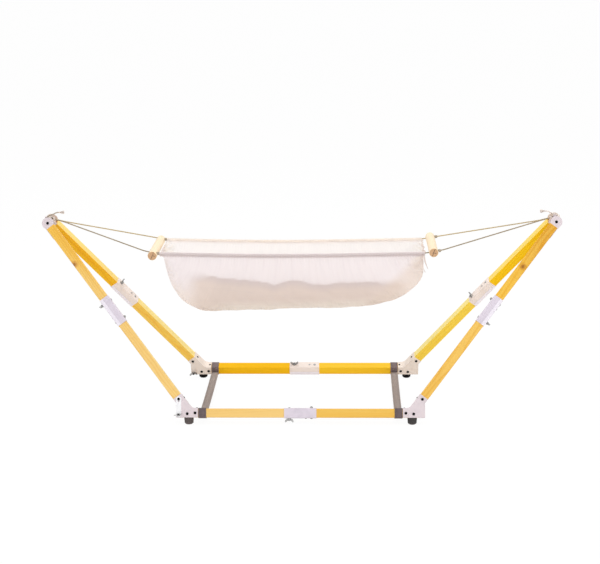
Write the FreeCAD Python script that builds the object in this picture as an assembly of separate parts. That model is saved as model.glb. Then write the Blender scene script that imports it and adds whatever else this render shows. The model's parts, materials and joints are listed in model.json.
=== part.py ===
"""Free-standing hammock cradle: two wooden frames that lean together, and a cloth hammock on ropes.

Millimetres. +X runs along the cradle, the front is at -Y, +Z is up, and the origin is the point on the
floor under the middle of the stand. Each frame is drawn in its own plane: x along the rail, v up the
plane from the rail's middle line, and w square to the plane, positive towards the front.
"""
import FreeCAD
import Part
import math
import os

from FreeCAD import Placement, Rotation, Vector

# Wooden bars
bar_side = 35.0
bar_edge_round = 2.0
bar_end_gap = 2.0

# Frame, in its own plane
rail_spread = 582.0
rail_height = 40.0
rail_end_x = 455.0
leg_bolt_x = 472.0
leg_bolt_rise = 53.7
leg_foot_length = 25.0
peak_bolt_x = 999.0
peak_bolt_rise = 745.0
leg_top_gap = 17.5

# Sheet metal
sheet = 2.0
slip = 0.1

# Corner brackets
bracket_tab = 12.0
bracket_outer_x = 482.0
bracket_inner_x = 396.5
bracket_curve_radius = 28.0
rail_bolt_near_x = 408.0
rail_bolt_far_x = 438.0
rail_bolt_far_drop = 3.0
lock_bolt_drop = 7.0
lock_link_width = 20.0
lock_link_thickness = 2.5
lock_slot_length = 9.0
web_screw_leg_drop = 6.0
web_screw_rail_x = 402.5

# Couplings of the bars
coupling_length = 125.0
coupling_bolt_reach = 43.0
coupling_screw_reach = 22.0
leg_coupling_share = 0.498

# Bolts, screws and nuts
bolt_radius = 3.0
hole_clearance = 0.3
black_head_radius = 5.5
black_head_height = 3.6
zinc_head_radius = 5.0
zinc_head_height = 3.0
nut_flats = 10.0
nut_height = 5.0
bolt_stub = 2.5
screw_radius = 2.0
screw_length = 12.0
screw_head_radius = 3.8
screw_head_height = 2.4

# Wing nuts
run_clearance = 0.08
wing_hub_radius = 6.5
wing_hub_top_radius = 5.2
wing_hub_height = 8.0
wing_span = 33.0
wing_height = 15.5
wing_thickness = 2.6
wing_nut_seat = 0.3

# Peak caps and their hinge
cheek_radius = 23.0
cap_tab_length = 45.0
cap_screw_spacing = 22.0
cap_tab_width = 26.0
knuckle_radius = 5.0
knuckle_rise = 29.0
knuckle_length = 12.0
knuckle_gap = 0.6
knuckle_outer_reach = 18.0
pin_radius = 3.0
pin_length = 26.0
sleeve_radius = 6.0

# Feet
foot_x = 433.0
foot_top_radius = 20.0
foot_bottom_radius = 17.0
foot_edge_round = 4.0
foot_spigot_radius = 5.0
foot_spigot_length = 9.0

# Webbing straps
strap_x = 380.0
strap_width = 30.0
strap_thickness = 2.0
strap_corner_round = 3.0
strap_clearance = 0.3
strap_drop = 6.0

# Ropes
rope_diameter = 5.0
rope_pair_gap = 5.3
rope_hole_clearance = 1.0
# Points at a peak: distance inward from the peak bolt, and height over the hinge's middle line.
rope_start = (24.0, -8.4)
rope_bend = (34.0, -10.4)
rope_split = (58.0, -17.0)
rope_split_widening = 1.3
# Lashing: its run behind the front cheek, its turn round the cheek's edge, and its run in front.
knot_radius = 7.0
knot_seat = (18.0, -4.0)
knot_flat = 5.5
lash_behind = -0.5
lash_before = 9.5
lash_turn_radius = 4.9
lash_low = (8.0, -8.8)
lash_outer = (-23.0, -14.0)
lash_over = (-4.0, 4.5)
tail_crest = (18.0, 12.0)
tail_end = (29.0, 19.0)
tail_tip = 12.0
brush_length = 20.0
brush_radius = 6.5

# Spreader dowels
dowel_radius = 18.0
dowel_length = 296.0
dowel_end_round = 3.0
dowel_left_x = -576.0
dowel_left_z = 634.0
dowel_right_x = 517.0
dowel_right_z = 644.5
rope_hole_inset = 20.0
rope_entry_reach = 12.0
rope_entry_radius = 30.0
# Height of the ropes over a dowel's middle line, outside the dowel and at the hem's end.
rope_left_entry_rise = 15.0
rope_right_entry_rise = 5.0
hem_left_rise = 5.0
hem_right_rise = -6.0
hem_end_reach = 5.0
hem_end_radius = 40.0

# Hammock cloth
cloth_thickness = 3.0
hem_diameter = 11.0
hem_left_x = -549.0
hem_right_x = 483.0
rim_dip_x = -90.0
rim_dip_drop = 10.0
rim_bend_radius = 5000.0
cloth_left_x = -551.0
cloth_right_x = 485.0
cloth_hem_overhang = 1.5
cloth_left_depth = 255.0
cloth_right_depth = 238.5
cloth_wall_spare = 20.0
cloth_corner_share = 0.4
cloth_corner_rounding = 0.36
# The walls bend under along ellipses of one height: their reach at the left end and the right end, and
# at the sides as a share of the half width.
cloth_bend_height = 160.0
cloth_left_sweep = 155.0
cloth_right_sweep = 310.0
cloth_side_sweep_share = 0.656
cloth_left_lean = 48.0
cloth_bend_steps = (0, 20, 38, 56, 73, 90)

# Mattress: a soft pad that lines the bottom and comes up the sides. For each station its x and the height
# of its edge over the cloth's bottom.
pad_clearance = 0.4
pad_thickness = 40.0
pad_stations = [
    (-395.0, 168.0),
    (-300.0, 152.0),
    (-200.0, 141.0),
    (-100.0, 123.0),
    (-20.0, 137.0),
    (70.0, 118.0),
    (190.0, 127.0),
    (335.0, 122.0),
]

X_AXIS = Vector(1, 0, 0)
Y_AXIS = Vector(0, 1, 0)
Z_AXIS = Vector(0, 0, 1)
FRONT, BACK = -1, 1
LEFT, RIGHT = -1, 1
SIDE_NAMES = {FRONT: "front", BACK: "back"}
END_NAMES = {LEFT: "left", RIGHT: "right"}

half = bar_side / 2
sheet_inside = half + slip
sheet_outside = sheet_inside + sheet
hinge_reach = half - sheet + knuckle_radius
hinge_rise = peak_bolt_rise + knuckle_rise
hinge_arm = math.hypot(hinge_rise, hinge_reach)
tilt = math.degrees(math.asin(rail_spread / 2 / hinge_arm) - math.atan2(hinge_reach, hinge_rise))
hinge_z = (
    rail_height
    + hinge_rise * math.cos(math.radians(tilt))
    - hinge_reach * math.sin(math.radians(tilt))
)

rope_hole_y = dowel_length / 2 - rope_hole_inset
hem_left_z = dowel_left_z + hem_left_rise
hem_right_z = dowel_right_z + hem_right_rise
rim_dip_z = hem_left_z - rim_dip_drop
cloth_half_width = rope_hole_y + cloth_hem_overhang
cloth_left_bottom_z = hem_left_z - cloth_left_depth
cloth_right_bottom_z = hem_right_z - cloth_right_depth
cloth_side_sweep = cloth_side_sweep_share * cloth_half_width

leg_length = math.hypot(peak_bolt_x - leg_bolt_x, peak_bolt_rise - leg_bolt_rise)
leg_slope = math.degrees(math.atan2(peak_bolt_rise - leg_bolt_rise, peak_bolt_x - leg_bolt_x))

parts = {}


def add(name, *solids):
    """Keep the solids of one named piece."""
    parts[name] = solids[0] if len(solids) == 1 else Part.makeCompound(list(solids))


def moved(shape, placement):
    """A copy of a shape after one more placement."""
    copy = shape.copy()
    copy.Placement = placement.multiply(copy.Placement)
    return copy


def frame_placement(side):
    """Placement of a frame's own plane, front or back, in the cradle."""
    return Placement(Vector(0, side * rail_spread / 2, rail_height), Rotation(X_AXIS, 90 + side * tilt))


def mirrored(shape, end):
    """A shape drawn for the right end, or its mirror image for the left end."""
    return shape if end == RIGHT else shape.mirror(Vector(0, 0, 0), X_AXIS)


def leg_placement():
    """Plane of the right leg: its own x runs up the leg from the leg bolt, its y to the inner side."""
    return Placement(Vector(leg_bolt_x, leg_bolt_rise, 0), Rotation(Z_AXIS, leg_slope))


def box(x0, x1, y0, y1, z0, z1):
    """A box between two corners."""
    return Part.makeBox(x1 - x0, y1 - y0, z1 - z0, Vector(x0, y0, z0))


def cylinder(radius, start, direction, length):
    """A cylinder from a point along a direction."""
    return Part.makeCylinder(radius, length, start, direction)


def edges_along(shape, axis):
    """The straight edges of a shape that run along an axis."""
    found = []
    for edge in shape.Edges:
        if len(edge.Vertexes) == 2:
            run = edge.Vertexes[1].Point - edge.Vertexes[0].Point
            if run.cross(axis).Length < 1e-6:
                found.append(edge)
    return found


def drilled(shape, drills):
    """A shape with the holes that reach it."""
    near = [drill for drill in drills if drill.BoundBox.intersect(shape.BoundBox)]
    return shape.cut(near) if near else shape


def bar(x0, x1):
    """Square bar with eased long edges, along its own x."""
    body = box(x0, x1, -half, half, -half, half)
    return body.makeFillet(bar_edge_round, edges_along(body, X_AXIS))


def dome_head(radius, height):
    """Round bolt head under z = 0, domed in two steps."""
    rim = height * 0.35
    cheek = Part.makeCone(radius * 0.72, radius, height * 0.45, Vector(0, 0, -rim - height * 0.45))
    crown = Part.makeCone(radius * 0.3, radius * 0.72, height - rim - height * 0.45, Vector(0, 0, -height))
    return Part.makeCylinder(radius, rim, Vector(0, 0, -rim)).fuse([cheek, crown])


def hex_nut():
    """Hexagon nut standing on z = 0."""
    corner = nut_flats / math.sqrt(3)
    points = [
        Vector(corner * math.cos(math.radians(60 * i)), corner * math.sin(math.radians(60 * i)), 0)
        for i in range(7)
    ]
    return Part.Face(Part.makePolygon(points)).extrude(Vector(0, 0, nut_height))


def aimed(shape, start, direction):
    """A shape drawn along +Z, set at a point and aimed along a direction."""
    return moved(shape, Placement(start, Rotation(Z_AXIS, direction)))


def bolt(start, direction, grip, head, end_length):
    """Bolt with its head against a face at start, through a grip, and past it by an end length."""
    head_radius, head_height = head
    body = dome_head(head_radius, head_height)
    body = body.fuse(Part.makeCylinder(bolt_radius, grip + end_length))
    return aimed(body.removeSplitter(), start, direction)


def nutted_bolt(start, direction, grip, head):
    """Bolt with a hexagon nut screwed up against the far face of its grip."""
    body = bolt(Vector(0, 0, 0), Z_AXIS, grip, head, nut_height + bolt_stub)
    body = body.fuse(aimed(hex_nut(), Vector(0, 0, grip), Z_AXIS))
    return aimed(body, start, direction)


def screw(start, direction, length):
    """Wood screw with its head against a face at start."""
    body = dome_head(screw_head_radius, screw_head_height)
    body = body.fuse(Part.makeCylinder(screw_radius, length))
    return aimed(body.removeSplitter(), start, direction)


def flush_screw(start, direction, length):
    """Wood screw with its head let into a sheet, level with the sheet's face at start."""
    body = Part.makeCylinder(screw_head_radius, sheet, Vector(0, 0, 0))
    return aimed(body.fuse(Part.makeCylinder(screw_radius, length)).removeSplitter(), start, direction)


def wing_nut():
    """Wing nut standing on z = 0, wings along x."""
    hub = Part.makeCone(wing_hub_radius, wing_hub_top_radius, wing_hub_height)
    tip = wing_span / 2
    root = wing_hub_top_radius * 0.5
    lobe = (wing_height - wing_hub_height) * 0.55
    outline = [
        Part.LineSegment(Vector(root, 0, 1.0), Vector(wing_hub_radius + 1.5, 0, 1.0)),
        Part.Arc(
            Vector(wing_hub_radius + 1.5, 0, 1.0),
            Vector(tip - 3.0, 0, wing_hub_height * 0.55),
            Vector(tip, 0, wing_height - lobe),
        ),
        Part.Arc(
            Vector(tip, 0, wing_height - lobe),
            Vector(tip - 2.0, 0, wing_height),
            Vector(tip - 5.5, 0, wing_height - lobe * 0.6),
        ),
        Part.LineSegment(Vector(tip - 5.5, 0, wing_height - lobe * 0.6), Vector(root, 0, wing_hub_height)),
        Part.LineSegment(Vector(root, 0, wing_hub_height), Vector(root, 0, 1.0)),
    ]
    face = Part.Face(Part.Wire([segment.toShape() for segment in outline]))
    wing = face.extrude(Vector(0, wing_thickness, 0))
    wing.translate(Vector(0, -wing_thickness / 2, 0))
    other = wing.copy()
    other.rotate(Vector(0, 0, 0), Z_AXIS, 180)
    body = hub.fuse([wing, other])
    bore = Part.makeCylinder(bolt_radius + run_clearance, wing_height * 2, Vector(0, 0, -wing_height / 2))
    return body.cut(bore)


def set_wing_nut(start, direction, turn):
    """Wing nut seated at a point along a bolt's direction, its wings turned about the bolt."""
    nut = wing_nut()
    nut.rotate(Vector(0, 0, 0), Z_AXIS, turn)
    return aimed(nut, start, direction)


wing_bolt_end = wing_nut_seat + wing_hub_height + bolt_stub


def bracket_outline(inset, margin):
    """Outline of a right corner bracket. The web side moves in by the inset, the open sides out by a margin."""
    web = sheet_outside - inset
    leg = leg_placement()
    tab_inner = leg.multVec(Vector(bracket_tab + margin, web, 0))
    tab_outer = leg.multVec(Vector(bracket_tab + margin, -half - margin, 0))
    along = Vector(math.cos(math.radians(leg_slope)), math.sin(math.radians(leg_slope)), 0)
    outer_x = bracket_outer_x + margin
    slant_end = tab_outer - along * ((tab_outer.x - outer_x) / along.x)
    bottom_outer = Vector(outer_x, -half - margin, 0)
    bottom_inner = Vector(bracket_inner_x - margin, -half - margin, 0)
    rail_inner = Vector(bracket_inner_x - margin, web, 0)
    corner = tab_inner - along * ((tab_inner.y - web) / along.y)
    radius = bracket_curve_radius + inset
    reach = radius * math.tan(math.radians(leg_slope / 2))
    rail_tangent = corner - X_AXIS * reach
    leg_tangent = corner + along * reach
    bisector = (along - X_AXIS).normalize()
    centre = corner + bisector * (radius / math.cos(math.radians(leg_slope / 2)))
    middle = centre - bisector * radius
    segments = [
        Part.LineSegment(leg_tangent, tab_inner),
        Part.LineSegment(tab_inner, tab_outer),
        Part.LineSegment(tab_outer, slant_end),
        Part.LineSegment(slant_end, bottom_outer),
        Part.LineSegment(bottom_outer, bottom_inner),
        Part.LineSegment(bottom_inner, rail_inner),
        Part.LineSegment(rail_inner, rail_tangent),
        Part.Arc(rail_tangent, middle, leg_tangent),
    ]
    return Part.Face(Part.Wire([segment.toShape() for segment in segments]))


def corner_bracket():
    """Right corner bracket: two side plates joined by a curved web on the inner side."""
    shell = bracket_outline(0, 0).extrude(Vector(0, 0, 2 * sheet_outside))
    shell.translate(Vector(0, 0, -sheet_outside))
    room = bracket_outline(sheet, 2 * sheet).extrude(Vector(0, 0, 2 * sheet_inside))
    room.translate(Vector(0, 0, -sheet_inside))
    return shell.cut(room)


def lock_link():
    """Slotted lock strip from the leg bolt down to the lock bolt, standing on w = 0."""
    top = Vector(leg_bolt_x, leg_bolt_rise, 0)
    low = Vector(leg_bolt_x, -lock_bolt_drop, 0)
    radius = lock_link_width / 2
    body = box(low.x - radius, low.x + radius, low.y, top.y, 0, lock_link_thickness)
    ends = [cylinder(radius, point, Z_AXIS, lock_link_thickness) for point in (top, low)]
    body = body.fuse(ends).removeSplitter()
    hole = bolt_radius + hole_clearance
    slot = box(top.x - hole, top.x + hole, top.y - lock_slot_length, top.y, -1, lock_link_thickness + 1)
    slot_end = cylinder(hole, Vector(top.x, top.y - lock_slot_length, -1), Z_AXIS, lock_link_thickness + 2)
    return body.cut([slot, slot_end])


def coupling(length):
    """Channel that sleeves two bar ends, along its own x, open to the back."""
    outer = box(-length / 2, length / 2, -sheet_outside, sheet_outside, -half, sheet_outside)
    bends = [edge for edge in edges_along(outer, X_AXIS) if abs(edge.BoundBox.ZMin - sheet_outside) < 1e-6]
    outer = outer.makeFillet(sheet * 1.4, bends)
    room = box(-length, length, -sheet_inside, sheet_inside, -2 * half, sheet_inside)
    return outer.cut(room)


def coupling_fasteners(nut_side, wing_end):
    """Bolts, screws, drill holes and wing nut seat of a coupling, along its own x.

    The wing nut is on the y side that nut_side gives, at the end that wing_end gives. The other end keeps
    a bolt with its head on that side and a hexagon nut on the other, and a screw.
    """
    grip = 2 * sheet_outside
    head = (zinc_head_radius, zinc_head_height)
    up = Vector(0, nut_side, 0)
    hole = bolt_radius + hole_clearance
    solids = []
    drills = []
    for end in (wing_end, -wing_end):
        foot = Vector(end * coupling_bolt_reach, -nut_side * sheet_outside, 0)
        if end == wing_end:
            solids.append(bolt(foot, up, grip, head, wing_bolt_end))
        else:
            solids.append(nutted_bolt(Vector(foot.x, -foot.y, 0), -up, grip, head))
        drills.append(cylinder(hole, foot, up, grip))
    screw_x = -wing_end * (coupling_bolt_reach - coupling_screw_reach)
    seat = Vector(screw_x, nut_side * sheet_outside, 0)
    solids.append(screw(seat, -up, screw_length))
    drills.append(cylinder(screw_radius + hole_clearance, seat, -up, screw_length + hole_clearance))
    seat = Vector(wing_end * coupling_bolt_reach, nut_side * (sheet_outside + wing_nut_seat), 0)
    return solids, drills, seat, up


def peak_cap(side, knuckle_start):
    """Right peak cap: two round cheeks past the leg's end, a web and a tab on the outer side, and a knuckle.

    The knuckle stands on the cheek that faces the other frame and starts at a distance from the bolt.
    """
    leg = leg_placement()
    cheek_end = leg_length - leg_top_gap
    web_out = half + sheet
    plate = box(cheek_end, leg_length, -web_out, half, -half, half)
    round_end = cylinder(cheek_radius, Vector(leg_length, 0, -half), Z_AXIS, bar_side)
    wood = box(cheek_end - bar_side, cheek_end, -bar_side, bar_side, -bar_side, bar_side)
    body = plate.fuse(round_end.cut(wood)).removeSplitter()
    inside = half - sheet
    room = box(cheek_end - 1, leg_length + 2 * cheek_radius, -half, 2 * cheek_radius, -inside, inside)
    body = body.cut(room)
    tab = box(cheek_end - cap_tab_length, leg_length, -web_out, -half - slip, -cap_tab_width / 2, cap_tab_width / 2)
    body = moved(body.fuse(tab).removeSplitter(), leg)
    start = peak_bolt_x + knuckle_start
    leaf_low = sorted((side * inside, side * half))
    leaf = box(start, start + knuckle_length, peak_bolt_rise, hinge_rise, leaf_low[0], leaf_low[1])
    barrel = cylinder(knuckle_radius, Vector(start, hinge_rise, side * hinge_reach), X_AXIS, knuckle_length)
    body = body.fuse([leaf, barrel]).removeSplitter()
    bore_start = Vector(start - 1, hinge_rise, side * hinge_reach)
    return body.cut(cylinder(pin_radius + run_clearance, bore_start, X_AXIS, knuckle_length + 2))


def foot(side, end):
    """Rubber foot, upright under the tilted rail, with a spigot pressed into it."""
    frame = frame_placement(side)
    centre = frame.multVec(Vector(end * foot_x, -half, 0))
    top = centre.z + foot_top_radius
    blank = Part.makeCone(foot_bottom_radius, foot_top_radius, top, Vector(centre.x, centre.y, 0))
    low_edges = [edge for edge in blank.Edges if edge.BoundBox.ZMax < 1e-6]
    blank = blank.makeChamfer(foot_edge_round, low_edges)
    reach = 4 * foot_top_radius
    above = box(end * foot_x - reach, end * foot_x + reach, -half, reach, -reach, reach)
    body = blank.cut(moved(above, frame))
    spigot_start = Vector(end * foot_x, -half - 1, 0)
    spigot = cylinder(foot_spigot_radius, spigot_start, Y_AXIS, foot_spigot_length + 1)
    return body.fuse(moved(spigot, frame)).removeSplitter()


def strap_loop(end):
    """Webbing sewn round the rail."""
    inner = half + strap_clearance
    outer = inner + strap_thickness
    x0 = end * strap_x - strap_width / 2
    band = box(x0, x0 + strap_width, -outer, outer, -outer, outer)
    band = band.makeFillet(strap_corner_round, edges_along(band, X_AXIS))
    room = box(x0 - 1, x0 + strap_width + 1, -inner, inner, -inner, inner)
    room = room.makeFillet(bar_edge_round, edges_along(room, X_AXIS))
    return band.cut(room)


def strap_span(end):
    """Webbing stretched between the two loops of one end."""
    outer = half + strap_clearance + strap_thickness
    low = []
    high = []
    for side in (FRONT, BACK):
        frame = frame_placement(side)
        face = side * (outer + strap_clearance)
        seat = frame.multVec(Vector(0, -strap_drop, face))
        lean = side * math.tan(math.radians(tilt))
        low.append(Vector(end * strap_x - strap_width / 2, seat.y, seat.z))
        high.append(Vector(low[-1].x, seat.y - lean * strap_thickness, seat.z + strap_thickness))
    outline = Part.makePolygon([low[0], low[1], high[1], high[0], low[0]])
    return Part.Face(outline).extrude(Vector(strap_width, 0, 0))


def build_frame(side):
    """All pieces of the front or the back frame."""
    name = SIDE_NAMES[side]
    frame = frame_placement(side)
    leg = leg_placement()
    hole = bolt_radius + hole_clearance
    black_head = (black_head_radius, black_head_height)
    black = []
    zinc = []
    drills = []
    bars = {}
    sheets = {}
    links = []
    wing_nuts = {}

    bars["rail_left"] = bar(-rail_end_x, -bar_end_gap / 2)
    bars["rail_right"] = bar(bar_end_gap / 2, rail_end_x)
    sheets["rail_coupling"] = coupling(coupling_length)
    solids, holes, seat, up = coupling_fasteners(side, LEFT)
    zinc += solids
    drills += holes
    wing_nuts["rail_wing_nut"] = set_wing_nut(seat, up, 0)

    middle = leg_length * leg_coupling_share
    for end in (LEFT, RIGHT):
        where = END_NAMES[end]
        lower = bar(-leg_foot_length, middle - bar_end_gap / 2)
        upper = bar(middle + bar_end_gap / 2, leg_length - leg_top_gap)
        bars[where + "_leg_lower"] = mirrored(moved(lower, leg), end)
        bars[where + "_leg_upper"] = mirrored(moved(upper, leg), end)
        at_middle = leg.multiply(Placement(Vector(middle, 0, 0), Rotation()))
        sheets[where + "_leg_coupling"] = mirrored(moved(coupling(coupling_length), at_middle), end)
        solids, holes, seat, up = coupling_fasteners(side, -end)
        zinc += [mirrored(moved(solid, at_middle), end) for solid in solids]
        drills += [mirrored(moved(drill, at_middle), end) for drill in holes]
        wing_nut_shape = moved(set_wing_nut(seat, up, 90), at_middle)
        wing_nuts[where + "_leg_wing_nut"] = mirrored(wing_nut_shape, end)

        sheets[where + "_corner_bracket"] = mirrored(corner_bracket(), end)
        knuckle = knuckle_outer_reach - knuckle_length
        if side * end == FRONT * RIGHT:
            knuckle -= knuckle_length + knuckle_gap
        sheets[where + "_peak_cap"] = mirrored(peak_cap(side, knuckle), end)

        # Bolts run from the front face to the back face. The left brackets carry a lock link in front.
        link_room = lock_link_thickness if end == LEFT else 0
        grip = 2 * sheet_outside + link_room
        leg_bolt = Vector(end * leg_bolt_x, leg_bolt_rise, sheet_outside + link_room)
        black.append(nutted_bolt(leg_bolt, -Z_AXIS, grip, black_head))
        drills.append(cylinder(hole, leg_bolt, -Z_AXIS, grip))
        for x, v in ((rail_bolt_near_x, 0.0), (rail_bolt_far_x, -rail_bolt_far_drop)):
            start = Vector(end * x, v, sheet_outside)
            black.append(nutted_bolt(start, -Z_AXIS, 2 * sheet_outside, black_head))
            drills.append(cylinder(hole, start, -Z_AXIS, 2 * sheet_outside))
        if end == LEFT:
            link = mirrored(lock_link(), end)
            link.translate(Vector(0, 0, sheet_outside))
            links.append(link)
            lock_start = Vector(end * leg_bolt_x, -lock_bolt_drop, -sheet_outside)
            black.append(bolt(lock_start, Z_AXIS, grip, black_head, wing_bolt_end))
            drills.append(cylinder(hole, lock_start, Z_AXIS, grip))
            lock_seat = lock_start + Z_AXIS * (grip + wing_nut_seat)
            wing_nuts[where + "_lock_wing_nut"] = set_wing_nut(lock_seat, Z_AXIS, 10)

        # Screws through the web, into the leg's inner face and the rail's top.
        inward = leg.Rotation.multVec(Y_AXIS)
        leg_seat = leg.multVec(Vector(-web_screw_leg_drop, sheet_outside, 0))
        rail_seat = Vector(web_screw_rail_x, sheet_outside, 0)
        cap_seats = [
            leg.multVec(Vector(leg_length - leg_top_gap - reach, -half - sheet, 0))
            for reach in (cap_tab_length - cap_screw_spacing - sheet, cap_tab_length - 5 * sheet)
        ]
        seats = [(leg_seat, -inward, screw), (rail_seat, -Y_AXIS, screw)]
        seats += [(seat, inward, flush_screw) for seat in cap_seats]
        for seat, direction, kind in seats:
            black.append(mirrored(kind(seat, direction, screw_length), end))
            screw_hole = cylinder(screw_radius + hole_clearance, seat, direction, screw_length + hole_clearance)
            drills.append(mirrored(screw_hole, end))
            if kind is flush_screw:
                head_hole = cylinder(screw_head_radius + slip, seat, direction, sheet)
                drills.append(mirrored(head_hole, end))

        # Bolt from the outer side into a threaded spacing sleeve between the cheeks of the peak cap. Its
        # end stays under the inner cheek's face, so that the frames can fold together.
        peak = Vector(end * peak_bolt_x, peak_bolt_rise, -side * half)
        inside = half - sheet - slip
        sleeve = cylinder(sleeve_radius, Vector(peak.x, peak.y, -inside), Z_AXIS, 2 * inside)
        peak_bolt = bolt(peak, Z_AXIS * side, bar_side - slip, black_head, 0)
        black.append(peak_bolt.fuse(sleeve).removeSplitter())
        drills.append(cylinder(hole, peak, Z_AXIS * side, bar_side))

        spigot = foot_spigot_length + hole_clearance
        drills.append(cylinder(foot_spigot_radius + slip, Vector(end * foot_x, -half, 0), Y_AXIS, spigot))
        add(f"{name}_{where}_foot", foot(side, end))

    for piece, shape in {**bars, **sheets}.items():
        add(f"{name}_{piece}", moved(drilled(shape, drills), frame))
    add(f"{name}_lock_link", *[moved(drilled(link, drills), frame) for link in links])
    add(f"{name}_black_fasteners", *[moved(solid, frame) for solid in black])
    add(f"{name}_zinc_fasteners", *[moved(solid, frame) for solid in zinc])
    add(f"{name}_strap_loops", *[moved(strap_loop(end), frame) for end in (LEFT, RIGHT)])
    for piece, shape in wing_nuts.items():
        add(f"{name}_{piece}", moved(shape, frame))


def route_edges(points, radii):
    """Straight runs joined by tangent arcs, with one radius for each inner point."""
    edges = []
    start = points[0]
    for before, point, after, radius in zip(points, points[1:], points[2:], radii):
        come = (point - before).normalize()
        leave = (after - point).normalize()
        turn = come.getAngle(leave)
        reach = radius * math.tan(turn / 2)
        first = point - come * reach
        last = point + leave * reach
        inward = (leave - come).normalize()
        middle = point + inward * (radius / math.cos(turn / 2) - radius)
        edges.append(Part.LineSegment(start, first).toShape())
        edges.append(Part.Arc(first, middle, last).toShape())
        start = last
    edges.append(Part.LineSegment(start, points[-1]).toShape())
    return edges


def free_radius(before, point, after):
    """Largest arc that the two runs at a point leave room for."""
    shorter = min((point - before).Length, (after - point).Length)
    turn = (point - before).getAngle(after - point)
    return 0.45 * shorter / math.tan(turn / 2)


def tube(edges, diameter):
    """Round tube along joined edges."""
    wire = Part.Wire(edges)
    start = edges[0].Vertexes[0].Point
    direction = edges[0].tangentAt(edges[0].FirstParameter)
    ring = Part.Wire(Part.Circle(start, direction, diameter / 2).toShape())
    return wire.makePipeShell([ring], True, False)


def peak_lashing(end):
    """Rope tied round the hinge at a peak: knot, turn round the front cheek's edge, frayed tail."""

    def spot(place, depth):
        return Vector(peak_bolt_x - place[0], hinge_rise + place[1], FRONT * hinge_reach + depth)

    tip = (tail_end[0] + tail_tip, tail_end[1])
    points = [
        spot(knot_seat, 0.0),
        spot(lash_low, lash_behind),
        spot(lash_outer, lash_behind),
        spot(lash_outer, lash_before),
        spot(lash_over, lash_before),
        spot(tail_crest, lash_before),
        spot(tail_end, lash_before),
        spot(tip, lash_before),
    ]
    radii = [free_radius(*points[i : i + 3]) for i in range(len(points) - 2)]
    radii[1] = lash_turn_radius
    radii[2] = lash_turn_radius
    print(END_NAMES[end], "lashing radii", [round(radius, 1) for radius in radii])
    edges = route_edges(points, radii)
    body = tube(edges, rope_diameter)
    length = sum(edge.Length for edge in edges)
    expected = math.pi * rope_diameter**2 / 4 * length
    print(END_NAMES[end], "lashing length", round(length), "volume ratio", round(body.Volume / expected, 4))
    knot = Part.makeSphere(knot_radius, points[0])
    flat_x = points[0].x - knot_flat
    reach = 4 * knot_radius
    off = box(flat_x - reach, flat_x, points[0].y - reach, points[0].y + reach, -reach, reach)
    off.translate(Vector(0, 0, points[0].z))
    brush = Part.makeCone(rope_diameter / 2, brush_radius, brush_length, points[-1], -X_AXIS)
    body = mirrored(body.fuse([knot.cut(off), brush]).removeSplitter(), end)
    return moved(body, frame_placement(FRONT))


def rope_points(side):
    """Route of one rope from peak to peak: knot, pair, dowel, hem, dowel, pair, knot."""
    pair_y = side * rope_pair_gap / 2
    hole_y = side * rope_hole_y
    entry = dowel_radius + rope_entry_reach

    def spot(place, end, widening):
        return Vector(end * (peak_bolt_x - place[0]), pair_y * widening, hinge_z + place[1])

    return [
        spot(rope_start, LEFT, 1.0),
        spot(rope_bend, LEFT, 1.0),
        spot(rope_split, LEFT, rope_split_widening),
        Vector(dowel_left_x - entry, hole_y, dowel_left_z + rope_left_entry_rise),
        Vector(hem_left_x - hem_end_reach, hole_y, hem_left_z),
        Vector(rim_dip_x, hole_y, rim_dip_z),
        Vector(hem_right_x + hem_end_reach, hole_y, hem_right_z),
        Vector(dowel_right_x + entry, hole_y, dowel_right_z + rope_right_entry_rise),
        spot(rope_split, RIGHT, rope_split_widening),
        spot(rope_bend, RIGHT, 1.0),
        spot(rope_start, RIGHT, 1.0),
    ]


def rope(side):
    """One rope, from peak to peak."""
    points = rope_points(side)
    radii = [free_radius(*points[i : i + 3]) for i in range(len(points) - 2)]
    radii[2] = rope_entry_radius
    radii[3] = hem_end_radius
    radii[4] = rim_radius()
    radii[5] = hem_end_radius
    radii[6] = rope_entry_radius
    print(SIDE_NAMES[side], "rope radii", [round(radius) for radius in radii])
    edges = route_edges(points, radii)
    length = sum(edge.Length for edge in edges)
    body = tube(edges, rope_diameter)
    expected = math.pi * rope_diameter**2 / 4 * length
    print(SIDE_NAMES[side], "rope length", round(length), "volume ratio", round(body.Volume / expected, 4))
    return body


def rim_point(side, x):
    """Point of a rope's middle line in the hem, off its bend, at an x."""
    points = rope_points(side)
    dip = points[5]
    far = points[4] if x < dip.x else points[6]
    return dip + (far - dip) * ((x - dip.x) / (far.x - dip.x))


def rim_radius():
    """Radius of the rim's bend: the named one, or the largest that the hem leaves room for."""
    dip = rope_points(FRONT)[5]
    return min(rim_bend_radius, free_radius(rim_point(FRONT, hem_left_x), dip, rim_point(FRONT, hem_right_x)))


def rim_edges(side):
    """The rope's middle line along the hem."""
    points = [rim_point(side, hem_left_x), rope_points(side)[5], rim_point(side, hem_right_x)]
    return route_edges(points, [rim_radius()])


def dowel(x, z):
    """Round spreader bar across the cradle, with a hole for each rope."""
    start = Vector(x, -dowel_length / 2, z)
    body = cylinder(dowel_radius, start, Y_AXIS, dowel_length)
    ends = [edge for edge in body.Edges if edge.Curve.TypeId == "Part::GeomCircle"]
    body = body.makeFillet(dowel_end_round, ends)
    holes = []
    for side in (FRONT, BACK):
        points = rope_points(side)
        outer, inner = points[3:5] if x < 0 else points[7:5:-1]
        run = (inner - outer).normalize()
        centre = outer + (inner - outer) * ((x - outer.x) / (inner.x - outer.x))
        hole_radius = rope_diameter / 2 + rope_hole_clearance
        holes.append(cylinder(hole_radius, centre - run * 2 * dowel_radius, run, 4 * dowel_radius))
    return body.cut(holes)


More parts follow.
